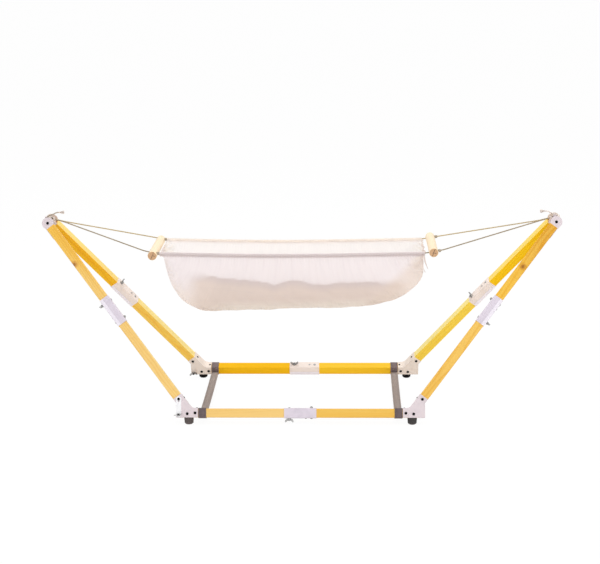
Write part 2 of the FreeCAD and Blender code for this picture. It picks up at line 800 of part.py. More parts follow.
def level_wire(left, right, half_width, corner):
    """Rounded rectangle of one level of the cloth, on its own slanted plane."""
    along = (right - left).normalize()
    span = (right - left).Length
    knee = corner * (1 - math.sqrt(0.5))
    points = [
        (corner, -half_width), (span - corner, -half_width), (span - knee, -half_width + knee),
        (span, -half_width + corner), (span, half_width - corner), (span - knee, half_width - knee),
        (span - corner, half_width), (corner, half_width), (knee, half_width - knee),
        (0, half_width - corner), (0, -half_width + corner), (knee, -half_width + knee),
    ]
    spots = [left + along * t + Vector(0, y, 0) for t, y in points]
    edges = []
    for i in range(0, 12, 3):
        edges.append(Part.LineSegment(spots[i], spots[i + 1]).toShape())
        edges.append(Part.Arc(spots[i + 1], spots[i + 2], spots[(i + 3) % 12]).toShape())
    return Part.Wire(edges)


def cloth_level(drop_share, bend, inset):
    """One level of the cloth's tub.

    The drop share runs from 0 at the rim to 1 where the walls start to bend under, and is negative over
    the rim. The bend is the angle round the ellipses. The inset moves the level into the tub.
    """
    swing = 1 - math.cos(math.radians(bend))
    fall = math.sin(math.radians(bend))
    ends = []
    for x, bottom, sweep, lean, way in (
        (cloth_left_x, cloth_left_bottom_z, cloth_left_sweep, cloth_left_lean, 1),
        (cloth_right_x, cloth_right_bottom_z, cloth_right_sweep, 0.0, -1),
    ):
        rim = hem_left_z if way == 1 else hem_right_z
        wall = rim - bottom - cloth_bend_height
        z = rim - wall * drop_share - cloth_bend_height * fall + inset * fall
        shift = lean * (rim - z) / (rim - bottom) + sweep * swing + inset * (1 - swing)
        ends.append(Vector(x + way * shift, 0, z))
    wide = cloth_half_width - cloth_side_sweep * swing - inset * (1 - swing)
    corner = wide * (cloth_corner_share + cloth_corner_rounding * swing)
    return level_wire(ends[0], ends[1], wide, corner)


def cloth_body(inset):
    """Solid tub inside the cloth's levels, moved in by an inset."""
    spare = -cloth_wall_spare / cloth_bend_height
    levels = [cloth_level(share, 0, inset) for share in (spare, 0.0, 0.5)]
    levels += [cloth_level(1.0, bend, inset) for bend in cloth_bend_steps]
    return Part.makeLoft(levels, True, False)


def above_rim():
    """Everything over the rope's line along the hem."""
    edges = rim_edges(FRONT)
    first = edges[0].Vertexes[0].Point
    last = edges[-1].Vertexes[-1].Point
    reach = 4 * dowel_radius
    run_out = [
        last, last + Vector(reach, 0, 0), last + Vector(reach, 0, reach),
        first + Vector(-reach, 0, reach), first + Vector(-reach, 0, 0), first,
    ]
    closing = [Part.LineSegment(a, b).toShape() for a, b in zip(run_out, run_out[1:])]
    face = Part.Face(Part.Wire(edges + closing))
    face.translate(Vector(0, -rope_hole_y, 0))
    return face.extrude(Vector(0, 4 * rope_hole_y, 0))


def hammock_cloth():
    """Cloth tub with a hem round each rope."""
    body = cloth_body(0).cut([cloth_body(cloth_thickness), above_rim()])
    hems = [tube(rim_edges(side), hem_diameter) for side in (FRONT, BACK)]
    body = body.fuse(hems)
    bores = [tube(rim_edges(side), rope_diameter + rope_hole_clearance) for side in (FRONT, BACK)]
    return body.cut(bores)


def mattress():
    """Pad that lines the bottom of the cloth and comes up its sides."""
    wide = cloth_half_width + cloth_thickness
    low = min(cloth_left_bottom_z, cloth_right_bottom_z) - 4 * cloth_thickness
    tops = []
    for x, rise in pad_stations:
        share = (x - cloth_left_x) / (cloth_right_x - cloth_left_x)
        bottom = cloth_left_bottom_z + (cloth_right_bottom_z - cloth_left_bottom_z) * share
        tops.append(Vector(x, -wide, bottom + rise))
    curve = Part.BSplineCurve()
    curve.interpolate(tops)
    left_foot = Vector(tops[0].x, -wide, low)
    right_foot = Vector(tops[-1].x, -wide, low)
    sides = Part.makePolygon([tops[-1], right_foot, left_foot, tops[0]])
    outline = Part.Wire([curve.toShape()] + sides.Edges)
    block = Part.Face(outline).extrude(2 * wide * Y_AXIS)
    under = cloth_thickness + pad_clearance
    return block.common(cloth_body(under)).cut(cloth_body(under + pad_thickness))


def hinge_pin(end):
    """Pin through the knuckles of the front and the back cap at one peak."""
    body = cylinder(pin_radius, Vector(peak_bolt_x - pin_length + knuckle_outer_reach, 0, hinge_z), X_AXIS, pin_length)
    return mirrored(body, end)


def build_hammock():
    """Ropes, dowels, cloth and mattress."""
    for side in (FRONT, BACK):
        add(f"{SIDE_NAMES[side]}_rope", rope(side))
    add("left_spreader_dowel", dowel(dowel_left_x, dowel_left_z))
    add("right_spreader_dowel", dowel(dowel_right_x, dowel_right_z))
    add("hammock_cloth", hammock_cloth())
    add("mattress", mattress())


def main():
    """Build every piece and write one file for each."""
    for side in (FRONT, BACK):
        build_frame(side)
    add("hinge_pins", hinge_pin(LEFT), hinge_pin(RIGHT))
    for end in (LEFT, RIGHT):
        add(f"{END_NAMES[end]}_peak_lashing", peak_lashing(end))
        add(f"{END_NAMES[end]}_strap_span", strap_span(end))
    build_hammock()
    os.makedirs("parts", exist_ok=True)
    for name, shape in parts.items():
        shape.exportStep(os.path.join("parts", name + ".step"))
    print(len(parts), "pieces, tilt", round(tilt, 3), "hinge height", round(hinge_z, 3))


main()
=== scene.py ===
"""Looks of the hammock cradle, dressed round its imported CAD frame.

Everything is in metres in the CAD frame: +X along the cradle, the front at -Y, +Z up.
"""
from __future__ import annotations

import json
import logging
import math
import random
from dataclasses import dataclass, field
from enum import Enum
from typing import Any, Iterable, Sequence

import bmesh
import bpy
from mathutils import Matrix, Vector, noise

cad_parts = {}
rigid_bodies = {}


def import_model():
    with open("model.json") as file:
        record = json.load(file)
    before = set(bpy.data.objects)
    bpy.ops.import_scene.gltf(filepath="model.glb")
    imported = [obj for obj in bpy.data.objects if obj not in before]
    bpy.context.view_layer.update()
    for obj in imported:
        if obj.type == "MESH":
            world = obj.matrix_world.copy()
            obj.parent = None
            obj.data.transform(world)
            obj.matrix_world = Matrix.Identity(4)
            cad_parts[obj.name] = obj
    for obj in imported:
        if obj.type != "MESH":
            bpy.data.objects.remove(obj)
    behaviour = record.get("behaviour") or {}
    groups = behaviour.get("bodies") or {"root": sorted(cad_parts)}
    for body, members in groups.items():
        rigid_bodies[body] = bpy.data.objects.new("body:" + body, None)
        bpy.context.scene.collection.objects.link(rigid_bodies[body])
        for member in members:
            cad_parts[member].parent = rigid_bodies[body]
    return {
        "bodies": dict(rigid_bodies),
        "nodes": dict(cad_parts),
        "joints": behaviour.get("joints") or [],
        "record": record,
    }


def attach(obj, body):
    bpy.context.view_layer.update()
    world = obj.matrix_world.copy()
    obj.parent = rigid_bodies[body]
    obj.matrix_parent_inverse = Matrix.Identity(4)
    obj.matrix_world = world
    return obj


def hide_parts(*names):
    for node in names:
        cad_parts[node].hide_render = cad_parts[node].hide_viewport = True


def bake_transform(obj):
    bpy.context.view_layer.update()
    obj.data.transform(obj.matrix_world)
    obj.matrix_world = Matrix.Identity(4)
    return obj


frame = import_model()

LOG = logging.getLogger("cradle")
Colour = tuple[float, float, float]
Spot = tuple[float, float, float]
Pair = tuple[float, float]
Grid = dict[tuple[int, int], bmesh.types.BMVert]
WHITE: Colour = (1.0, 1.0, 1.0)


class Half(Enum):
    """One of two halves that mirror each other, by its sign."""

    @property
    def word(self) -> str:
        """Name used in node and piece names."""
        return self.name.lower()


class Side(Half):
    """Which leaning frame, rim or rope: the one at the front or at the back."""

    FRONT = -1
    BACK = 1


class End(Half):
    """Which end of the cradle."""

    LEFT = -1
    RIGHT = 1


def srgb(red: int, green: int, blue: int) -> Colour:
    """Turn screen colour steps into the linear values that shaders take.

    Args:
        red: Red, 0 to 255.
        green: Green, 0 to 255.
        blue: Blue, 0 to 255.

    Returns:
        Linear red, green and blue.
    """

    def linear(step: int) -> float:
        share = step / 255
        return share / 12.92 if share <= 0.04045 else ((share + 0.055) / 1.055) ** 2.4

    return linear(red), linear(green), linear(blue)


def smooth(low: float, high: float, value: float) -> float:
    """Ease a value from 0 at low to 1 at high."""
    share = min(1.0, max(0.0, (value - low) / (high - low)))
    return share * share * (3 - 2 * share)


class Wire:
    """A node socket that takes part in Python sums, which add Math nodes."""

    def __init__(self, book: "NodeBook", socket: Any) -> None:
        """Keep the socket and the book of nodes it is in."""
        self.book = book
        self.socket = socket

    def maths(self, operation: str, first: Any, second: Any = 0.0) -> "Wire":
        """Add one Math node and return its value."""
        return self.book.put("ShaderNodeMath", {"operation": operation}, {0: first, 1: second})

    def __add__(self, other: Any) -> "Wire":
        """Sum."""
        return self.maths("ADD", self, other)

    __radd__ = __add__

    def __sub__(self, other: Any) -> "Wire":
        """Difference."""
        return self.maths("SUBTRACT", self, other)

    def __rsub__(self, other: Any) -> "Wire":
        """Difference from a number."""
        return self.maths("SUBTRACT", other, self)

    def __mul__(self, other: Any) -> "Wire":
        """Product."""
        return self.maths("MULTIPLY", self, other)

    __rmul__ = __mul__

    def __pow__(self, other: Any) -> "Wire":
        """Power."""
        return self.maths("POWER", self, other)

    def __abs__(self) -> "Wire":
        """Size without sign."""
        return self.maths("ABSOLUTE", self)

    def over(self, limit: float) -> "Wire":
        """1 where the value is over a limit."""
        return self.maths("GREATER_THAN", self, limit)

    def under(self, limit: float) -> "Wire":
        """1 where the value is under a limit."""
        return self.maths("LESS_THAN", self, limit)

    def sine(self) -> "Wire":
        """Sine of the value."""
        return self.maths("SINE", self)

    def clipped(self) -> "Wire":
        """The value kept between 0 and 1."""
        return self.maths("MINIMUM", self.maths("MAXIMUM", self, 0.0), 1.0)

    def step(self, low: float, high: float) -> "Wire":
        """Eased step from 0 at low to 1 at high."""
        settings = {"interpolation_type": "SMOOTHSTEP"}
        return self.book.put("ShaderNodeMapRange", settings, {0: self, 1: low, 2: high, 3: 0.0, 4: 1.0})


class NodeBook:
    """The nodes of a material or of the world."""

    def __init__(self, owner: Any, output: str) -> None:
        """Start with an output node alone."""
        owner.use_nodes = True
        self.tree = owner.node_tree
        self.tree.nodes.clear()
        self.output = self.tree.nodes.new(output)

    def put(
        self,
        kind: str,
        settings: dict[str, Any] | None = None,
        sockets: dict[Any, Any] | None = None,
        out: int | str = 0,
    ) -> Wire:
        """Add any node.

        Args:
            kind: The node's type.
            settings: Its settings, with a ramp's stops under "stops".
            sockets: Values or wires for its inputs.
            out: The output to return.

        Returns:
            The chosen output.
        """
        node = self.tree.nodes.new(kind)
        for key, value in (settings or {}).items():
            if key == "stops":
                ramp = node.color_ramp
                while len(ramp.elements) < len(value):
                    ramp.elements.new(0.5)
                for element, (place, colour) in zip(ramp.elements, value):
                    element.position = place
                    element.color = (*colour, 1.0)
            else:
                setattr(node, key, value)
        for key, value in (sockets or {}).items():
            self.feed(node.inputs[key], value)
        return Wire(self, node.outputs[out])

    def feed(self, socket: Any, value: Any) -> None:
        """Set a socket to a number, a vector or colour, or a wire."""
        if isinstance(value, Wire):
            self.tree.links.new(value.socket, socket)
        elif isinstance(value, (int, float)):
            socket.default_value = value
        else:
            size = len(socket.default_value)
            filled = (tuple(value) + (1.0,) * size)[:size]
            socket.default_value = filled

    def show(self, share: Wire, first: Wire, second: Wire) -> None:
        """Send a blend of two shaders to the output."""
        both = self.put("ShaderNodeMixShader", {}, {0: share, 1: first, 2: second})
        self.feed(self.output.inputs[0], both)

    def looked_at(self) -> Wire:
        """1 where the camera looks, straight or by way of a shiny face."""
        seen = self.put("ShaderNodeLightPath", out="Is Camera Ray")
        outputs = seen.socket.node.outputs
        for name in ("Is Glossy Ray", "Is Transmission Ray"):
            seen = seen + Wire(self, outputs[name])
        return seen.clipped()


class FinishBook(NodeBook):
    """A material with a Principled shader, and the nodes put into it."""

    def __init__(self, name: str) -> None:
        """Start a material with the shader on its output."""
        self.material = bpy.data.materials.new(name)
        super().__init__(self.material, "ShaderNodeOutputMaterial")
        self.shader = self.tree.nodes.new("ShaderNodeBsdfPrincipled")
        self.surface = Wire(self, self.shader.outputs[0])
        self.feed(self.output.inputs[0], self.surface)

    def set(self, **values: Any) -> None:
        """Feed the Principled shader's sockets, named with underscores for spaces."""
        for key, value in values.items():
            self.feed(self.shader.inputs[key.replace("_", " ")], value)

    def place(self, turn: Matrix | None = None) -> Wire:
        """Object coordinates, turned by a rotation if one is given."""
        spot = self.put("ShaderNodeTexCoord", out="Object")
        if turn is None:
            return spot
        return self.put("ShaderNodeMapping", {}, {0: spot, "Rotation": tuple(turn.to_euler("XYZ"))})

    def uv(self) -> Wire:
        """The piece's own UV map."""
        return self.put("ShaderNodeTexCoord", out="UV")

    def carried(self, name: str) -> Wire:
        """A number that the mesh carries at its points."""
        return self.put("ShaderNodeAttribute", {"attribute_name": name}, out="Fac")

    def parts(self, vector: Wire) -> tuple[Wire, Wire, Wire]:
        """The three numbers of a vector."""
        first = self.put("ShaderNodeSeparateXYZ", {}, {0: vector})
        outputs = first.socket.node.outputs
        return first, Wire(self, outputs[1]), Wire(self, outputs[2])

    def stretch(self, vector: Wire, scale: Sequence[float]) -> Wire:
        """A vector scaled along its axes."""
        return self.put("ShaderNodeVectorMath", {"operation": "MULTIPLY"}, {0: vector, 1: scale})

    def measure(self, operation: str, vector: Wire, other: Sequence[float]) -> Wire:
        """A number from two vectors, such as their dot product or distance."""
        return self.put("ShaderNodeVectorMath", {"operation": operation}, {0: vector, 1: other}, out=1)

    def grain(self, vector: Wire, scale: float, detail: float = 2.0, rough: float = 0.5) -> Wire:
        """Soft noise from 0 to 1."""
        sockets = {"Vector": vector, "Scale": scale, "Detail": detail, "Roughness": rough}
        return self.put("ShaderNodeTexNoise", {}, sockets)

    def mix(self, share: Any, first: Any, second: Any) -> Wire:
        """Blend two colours by a share."""
        settings = {"data_type": "RGBA"}
        return self.put("ShaderNodeMix", settings, {0: share, 6: first, 7: second}, out=2)

    def bump(self, height: Wire, depth: float, strength: float = 1.0) -> None:
        """Feed a height into the shader's normal, with the depth of a full step in metres."""
        normal = self.put("ShaderNodeBump", {}, {"Strength": strength, "Distance": depth, "Height": height})
        self.set(Normal=normal)


class WoodTone(Enum):
    """Light, middle and dark tone of one bar's wood under its lacquer."""

    BIRCH = srgb(253, 236, 204), srgb(249, 223, 180), srgb(222, 178, 122)
    STRAW = srgb(250, 216, 136), srgb(241, 194, 100), srgb(208, 148, 62)
    HONEY = srgb(248, 207, 108), srgb(238, 185, 74), srgb(204, 138, 42)
    AMBER = srgb(248, 204, 88), srgb(238, 180, 54), srgb(200, 130, 34)
    OCHRE = srgb(236, 188, 84), srgb(222, 160, 44), srgb(176, 112, 28)
    PALE_GOLD = srgb(255, 230, 84), srgb(255, 213, 58), srgb(240, 176, 34)
    MARIGOLD = srgb(255, 222, 104), srgb(253, 200, 78), srgb(228, 146, 38)
    GOLD = srgb(255, 220, 44), srgb(254, 196, 14), srgb(228, 148, 4)
    DEEP_GOLD = srgb(255, 212, 38), srgb(250, 183, 10), srgb(220, 134, 2)


class Lacquer(Enum):
    """Coat weight and specular level of a bar's lacquer."""

    FRESH = 0.4, 0.5
    WORN = 0.2, 0.32
    DULL = 0.08, 0.2
    RUBBED = 0.0, 0.05


@dataclass(frozen=True)
class Stock:
    """Wood of one bar: tone, lacquer, how much painted light lifts its upper faces, and any heartwood and
    knot.
    """

    tone: WoodTone
    lacquer: Lacquer = Lacquer.DULL
    bleach: float = 0.0
    heartwood: WoodTone | None = None
    knot: Spot | None = None


@dataclass(frozen=True)
class PaleWood:
    """Planed softwood under clear lacquer, with its grain along one direction.

    Noise scales and wave rates are per metre, spans are metres or shares.
    """

    name: str
    along: Spot
    stock: Stock
    end: Colour = srgb(205, 155, 105)
    heart: Pair | None = None
    # Painted light on the upper faces.
    bleached: Colour = srgb(255, 247, 176)
    knot_dark: Colour = srgb(138, 82, 30)
    knot_ring: Colour = srgb(190, 118, 36)
    end_ring: Colour = srgb(160, 108, 76)
    end_crack: Colour = srgb(66, 44, 34)
    heartwood_span: Pair = (0.46, 0.70)
    bleach_span: Pair = (0.35, 0.6)
    cut_span: Pair = (0.75, 0.92)
    knot_core_span: Pair = (0.003, 0.009)
    knot_ring_span: Pair = (0.007, 0.020)
    ring_rate: Pair = (1050.0, 620.0)
    ring_sway: float = 26.0
    end_ring_rate: float = 2400.0
    crack_reach: Pair = (0.0155, 0.012)
    pore_scale: float = 1600.0

    def turn(self) -> Matrix:
        """Rotation that brings the grain onto +X."""
        grain = Vector(self.along).normalized()
        other = grain.orthogonal().normalized()
        return Matrix((grain, other, grain.cross(other)))

    def build(self) -> bpy.types.Material:
        """Make the material.

        Returns:
            The finished wood.
        """
        book = FinishBook(self.name)
        coat, specular = self.stock.lacquer.value
        spot = book.place(self.turn())
        sway = book.grain(book.stretch(spot, (1.6, 9.0, 9.0)), 2.0, 2.0)
        _, across, deep = book.parts(spot)
        layers = across * self.ring_rate[0] + deep * self.ring_rate[1]
        rings = (layers + sway * self.ring_sway).sine() * 0.5 + 0.5
        broad = book.grain(book.stretch(spot, (1.2, 26.0, 26.0)), 1.0, 3.0)
        fibres = book.grain(book.stretch(spot, (14.0, 900.0, 900.0)), 1.0, 3.0, 0.6)
        tone = rings ** 3.0 * 0.24 + broad * 0.5 + fibres * 0.22 - 0.12
        colour = self.shades(book, tone, self.stock.tone)
        if self.stock.heartwood is not None:
            _, _, height = book.parts(book.place())
            share = (height + (broad - 0.5) * 0.2).step(*self.heartwood_span)
            colour = book.mix(share, colour, self.shades(book, tone, self.stock.heartwood))
        if self.stock.knot is not None:
            colour = self.knotted(book, colour)
        normal = book.put("ShaderNodeTexCoord", out="Normal")
        cut_end = abs(book.measure("DOT_PRODUCT", normal, self.along)).step(*self.cut_span)
        # Painted light and sheen: upper faces paler, as the lamps above light them.
        if self.stock.bleach:
            _, _, upward = book.parts(normal)
            colour = book.mix(upward.step(*self.bleach_span) * self.stock.bleach, colour, self.bleached)
        pores = book.grain(spot, self.pore_scale, 1.0)
        end_colour = book.mix(pores, self.end, self.stock.tone.value[-1])
        if self.heart is not None:
            end_colour = self.checked_end(book, end_colour)
        book.set(
            Base_Color=book.mix(cut_end, colour, end_colour),
            Roughness=0.42 + cut_end * 0.25 + fibres * 0.1,
            Specular_IOR_Level=specular,
            Coat_Weight=coat,
            Coat_Roughness=0.28,
        )
        book.bump(fibres * 0.6 + rings * 0.4, 0.0001, 0.3)
        return book.material

    @staticmethod
    def shades(book: FinishBook, share: Wire, tone: WoodTone) -> Wire:
        """Run from the light to the dark of a tone."""
        light, middle, dark = tone.value
        stops = [(0.0, light), (0.42, middle), (1.0, dark)]
        return book.put("ShaderNodeValToRGB", {"stops": stops}, {0: share})

    def knotted(self, book: FinishBook, colour: Wire) -> Wire:
        """Dark knot in the wood, with a browner ring round it.

        Args:
            book: The material's nodes.
            colour: The wood without the knot.

        Returns:
            The wood with it.
        """
        spot = book.place()
        ragged = (book.grain(spot, 160.0, 2.0) - 0.5) * 0.006
        away = book.measure("DISTANCE", spot, self.stock.knot) + ragged
        ringed = book.mix((1 - away.step(*self.knot_ring_span)) * 0.6, colour, self.knot_ring)
        return book.mix((1 - away.step(*self.knot_core_span)) * 0.7, ringed, self.knot_dark)

    def checked_end(self, book: FinishBook, colour: Wire) -> Wire:
        """Growth rings round the heart of a dowel's end, and the cracks that drying opened in it.

        Args:
            book: The material's nodes.
            colour: The plain end grain.

        Returns:
            The end grain with rings and cracks.
        """
        x, _, z = book.parts(book.place())
        right = x - self.heart[0]
        up = z - self.heart[1]
        radius = (right * right + up * up) ** 0.5
        long, short = (radius.under(reach) for reach in self.crack_reach)
        wobble = book.grain(book.place(), 90.0, 2.0)
        rings = ((radius + wobble * 0.003) * self.end_ring_rate).sine().step(0.1, 0.9)
        stray = (wobble - 0.5) * 0.006
        crack = abs(right * 0.93 - up * 0.36 + stray).under(0.0011) * long
        other = abs(right * 0.3 + up * 0.95 + stray).under(0.0008) * right.over(0.0) * short
        ringed = book.mix(rings * 0.4, colour, self.end_ring)
        return book.mix((crack + other).clipped() * 0.85, ringed, self.end_crack)


@dataclass(frozen=True)
class WhitePaint:
    """White powder coat on folded sheet."""

    name: str
    colour: Colour
    shade: Colour

    def layers(self, book: FinishBook, colour: Wire, height: Wire) -> tuple[Wire, Wire]:
        """What lies over the plain coat: nothing here."""
        return colour, height

    def build(self) -> bpy.types.Material:
        """Make the material.

        Returns:
            The finished coat.
        """
        book = FinishBook(self.name)
        spot = book.place()
        peel = book.grain(spot, 700.0, 2.0)
        dust = book.grain(spot, 22.0, 4.0, 0.6)
        plain = book.mix(dust.step(0.45, 0.75) * 0.55, self.colour, self.shade)
        colour, height = self.layers(book, plain, peel * 0.1)
        book.set(Base_Color=colour, Roughness=0.38 + dust * 0.14, Coat_Weight=0.1)
        book.bump(height, 0.0008, 0.35)
        return book.material


@dataclass(frozen=True)
class LappedPaint(WhitePaint):
    """White coat on a sheet wrapped round a bar, with a painted highlight on the lap where its edges overlap.
    """

    across: Spot = (0.0, 0.0, -1.0)
    lap_at: float = 0.0
    # Painted highlight on the lap.
    lap: Colour = srgb(247, 241, 250)
    edge_half: float = 0.0004
    line_half: float = 0.0009

    def layers(self, book: FinishBook, colour: Wire, height: Wire) -> tuple[Wire, Wire]:
        """Lay the lap's painted highlight and the line of its edge over the plain coat.

        Args:
            book: The material's nodes.
            colour: The plain coat.
            height: Its height.

        Returns:
            Colour and height with the lap.
        """
        past = book.measure("DOT_PRODUCT", book.place(), self.across) - self.lap_at
        over = past.step(-self.edge_half, self.edge_half)
        line = abs(past).under(self.line_half)
        # Painted highlight on the lap.
        lap_highlighted = book.mix(over * 0.75, colour, self.lap)
        return book.mix(line * 0.6, lap_highlighted, self.shade), height + over


@dataclass(frozen=True)
class BlackRubber:
    """Moulded rubber, dusty under the feet, with painted light at the left end, where the key lamp falls."""

    name: str
    colour: Colour
    dust: Colour
    specular: float = 0.5
    worn_height: float = 0.009
    dusty_run: Pair = (-0.3, 0.3)

    def build(self) -> bpy.types.Material:
        """Make the material.

        Returns:
            The finished rubber.
        """
        book = FinishBook(self.name)
        spot = book.place()
        skin = book.grain(spot, 1400.0, 2.0)
        run, _, height = book.parts(spot)
        dust_and_light = (1 - height.step(0.0, self.worn_height)) * 0.6
        dust_and_light = dust_and_light + book.grain(spot, 90.0, 3.0).step(0.55, 0.8) * 0.25
        # Painted light: lighter towards the left end.
        dust_and_light = dust_and_light + (1 - run.step(*self.dusty_run)) * 0.4
        book.set(
            Base_Color=book.mix(dust_and_light.clipped(), self.colour, self.dust),
            Roughness=0.62 + skin * 0.2,
            Specular_IOR_Level=self.specular,
        )
        book.bump(skin, 0.0001, 0.5)
        return book.material


@dataclass(frozen=True)
class PlainMetal:
    """Metal of the bolts and nuts, from oxide black to bright zinc."""

    name: str
    colour: Colour
    stain: Colour
    metallic: float
    roughness: float
    specular: float = 0.5

    def build(self) -> bpy.types.Material:
        """Make the material.

        Returns:
            The finished metal.
        """
        book = FinishBook(self.name)
        spot = book.place()
        cloud = book.grain(spot, 160.0, 3.0, 0.6)
        scratch = book.grain(book.stretch(spot, (300.0, 1800.0, 1800.0)), 1.0, 2.0)
        book.set(
            Base_Color=book.mix(cloud.step(0.4, 0.75), self.colour, self.stain),
            Metallic=self.metallic,
            Roughness=self.roughness + scratch * 0.16,
            Specular_IOR_Level=self.specular,
        )
        book.bump(scratch, 0.00003, 0.4)
        return book.material


@dataclass(frozen=True)
class Webbing:
    """Woven strap: ribs across the width and a plain selvedge at each edge."""

    name: str
    colour: Colour
    shade: Colour
    width: float = 0.030
    selvedge: Pair = (0.0032, 0.0018)
    rib_rate: float = 2900.0
    cord_rate: float = 4200.0

    def build(self) -> bpy.types.Material:
        """Make the material.

        Returns:
            The finished webbing.
        """
        book = FinishBook(self.name)
        across, along, _ = book.parts(book.uv())
        half = self.width / 2
        aside = abs(across - half)
        ribs = (along * self.rib_rate).sine() * 0.5 + 0.5
        cords = (across * self.cord_rate + (along * (self.rib_rate / 2)).sine() * 1.1).sine() * 0.5 + 0.5
        weave = ribs * 0.45 + cords * 0.55
        edge = aside.step(*(half - inset for inset in self.selvedge))
        worn = book.grain(book.stretch(book.uv(), (60.0, 25.0, 1.0)), 1.0, 3.0)
        middle = aside.under(self.width * 0.36) * (1 - edge)
        tone = weave * 0.55 + worn * 0.35 + edge * 0.2
        book.set(
            Base_Color=book.mix(tone.clipped(), self.shade, self.colour),
            Roughness=0.82 + middle * 0.04,
            Sheen_Weight=0.15,
        )
        book.bump(weave * (1 - edge * 0.5), 0.0005, 0.8)
        return book.material


@dataclass(frozen=True)
class LaidCord:
    """Natural cord: fibres along each strand, a little dirt in the lays."""

    name: str = "laid_cord"
    colour: Colour = srgb(206, 193, 174)
    shade: Colour = srgb(150, 135, 118)

    def build(self) -> bpy.types.Material:
        """Make the material.

        Returns:
            The finished cord.
        """
        book = FinishBook(self.name)
        spot = book.place()
        fibre = book.grain(book.stretch(spot, (260.0, 1500.0, 1500.0)), 1.0, 3.0, 0.65)
        patch = book.grain(spot, 60.0, 3.0)
        book.set(
            Base_Color=book.mix((fibre * 0.7 + patch * 0.4 - 0.1).clipped(), self.colour, self.shade),
            Roughness=0.85,
            Sheen_Weight=0.2,
        )
        book.bump(fibre, 0.0003, 0.7)
        return book.material


@dataclass(frozen=True)
class ThinCotton:
    """Thin natural cotton that lets some light through and is warmer towards the bottom, with painted shade
    of the pad behind it, of its creases, hems and turned end, and painted light on its underside and on the
    far wall's inside.

    Spans are metres in the cradle or on the flat cloth.
    """

    cloth_width: float
    cloth_length: float
    hem_width: float
    name: str = "thin_cotton"
    colour: Colour = srgb(248, 239, 241)
    low: Colour = srgb(243, 226, 213)
    # Painted light on the underside near the keel.
    belly: Colour = srgb(255, 245, 232)
    # Painted light: the far wall's inside is whitened.
    inside: Colour = srgb(255, 254, 252)
    # Painted shade in the creases; slubs and stitches take this colour too.
    fold: Colour = srgb(230, 217, 221)
    # Painted shade of the pad seen through the cloth, darkest along its top edge; the edge colour is also
    # painted in wrinkles and ruffles.
    lined: Colour = srgb(237, 219, 207)
    lined_edge: Colour = srgb(220, 204, 199)
    # Painted shade of the doubled hem with the rope in it.
    hem: Colour = srgb(230, 217, 217)
    # Painted shade of the end turned away at the right.
    gathered_end: Colour = srgb(234, 215, 201)
    glow: Colour = srgb(255, 251, 250)
    thread_rate: float = 5200.0
    stitch_rate: float = 1250.0
    far_span: Pair = (-0.04, 0.07)
    turned_span: Pair = (-0.20, -0.13)
    low_span: Pair = (0.42, 0.545)
    belly_span: Pair = (0.002, 0.062)
    belly_run: Pair = (-0.42, -0.26)
    ruffle_from_end: Pair = (0.19, 0.04)
    pad_edge_depth: float = 0.045

    def build(self) -> bpy.types.Material:
        """Make the material.

        Returns:
            The finished cloth.
        """
        book = FinishBook(self.name)
        along, across, _ = book.parts(book.uv())
        # Share of the pad's painted shade, carried at the cloth's points.
        lining = book.carried("lining")
        deeper = book.carried("under_edge").step(0.0, self.pad_edge_depth)
        # Painted light: near 1 close above the keel.
        belly = 1 - book.carried("over_keel").step(*self.belly_span)
        run, depth, height = book.parts(book.place())
        far = depth.step(*self.far_span)
        turned = (run - height).step(*self.turned_span)
        threads = ((along * self.thread_rate).sine() * (across * self.thread_rate).sine()) * 0.5 + 0.5

        def noisy(lengthwise: float, crosswise: float, rough: float) -> Wire:
            """Noise stretched on the flat cloth."""
            return book.grain(book.stretch(book.uv(), (lengthwise, crosswise, 1.0)), 1.0, 3.0, rough)

        slub = noisy(35.0, 420.0, 0.6)
        crease = noisy(60.0, 9.0, 0.55)
        wrinkle = noisy(7.0, 110.0, 0.55)
        scribble = noisy(80.0, 80.0, 0.6)
        ruffle = along.step(*(self.cloth_length - inset for inset in self.ruffle_from_end))
        from_rim = self.cloth_width / 2 - abs(across - self.cloth_width / 2)
        hem = from_rim.under(self.hem_width)
        sewn = abs(from_rim - self.hem_width + 0.002).under(0.0008)
        stitch = sewn * (along * self.stitch_rate).sine().over(-0.35)
        # Warmer towards the bottom.
        outside = book.mix(1 - height.step(*self.low_span), self.colour, self.low)
        # Painted shade in the creases.
        outside = book.mix(crease.step(0.42, 0.78) * 0.3, outside, self.fold)
        # Painted shade of the pad behind the cloth.
        outside = book.mix(lining * 0.95, outside, book.mix(deeper, self.lined_edge, self.lined))
        # Painted light on the underside, faded out towards the left end.
        outside = book.mix(belly * (run.step(*self.belly_run) * 0.9), outside, self.belly)
        # Painted shade in the wrinkles over the pad.
        outside = book.mix(wrinkle.step(0.5, 0.75) * deeper * 0.22, outside, self.lined_edge)
        # Painted shade where the end turns away.
        outside = book.mix(turned * 0.8, outside, self.gathered_end)
        # Painted shade in the ruffles at the right end.
        outside = book.mix(ruffle * scribble.step(0.4, 0.7) * 0.7, outside, self.lined_edge)
        # Painted shade of the hem, mostly on the front.
        outside = book.mix(hem * (0.9 - far * 0.8), outside, self.hem)
        # Painted light on the far wall's inside.
        body = book.mix(far * 0.9, book.mix(slub * 0.16, outside, self.fold), self.inside)
        body = book.mix(stitch * 0.35, body, self.fold)
        book.set(Base_Color=body, Roughness=0.9, Sheen_Weight=0.12)
        folds = crease * 1.2 + ruffle * scribble * 3.0 + wrinkle * deeper * 1.6
        book.bump(threads * 0.35 + slub * 0.5 + folds - stitch * 0.8, 0.0006, 0.6)
        glow = book.put("ShaderNodeBsdfTranslucent", {}, {"Color": self.glow})
        through = (0.28 - lining * 0.24) * (1 - far) + far * (0.55 + hem * 0.25)
        book.show(through, book.surface, glow)
        return book.material


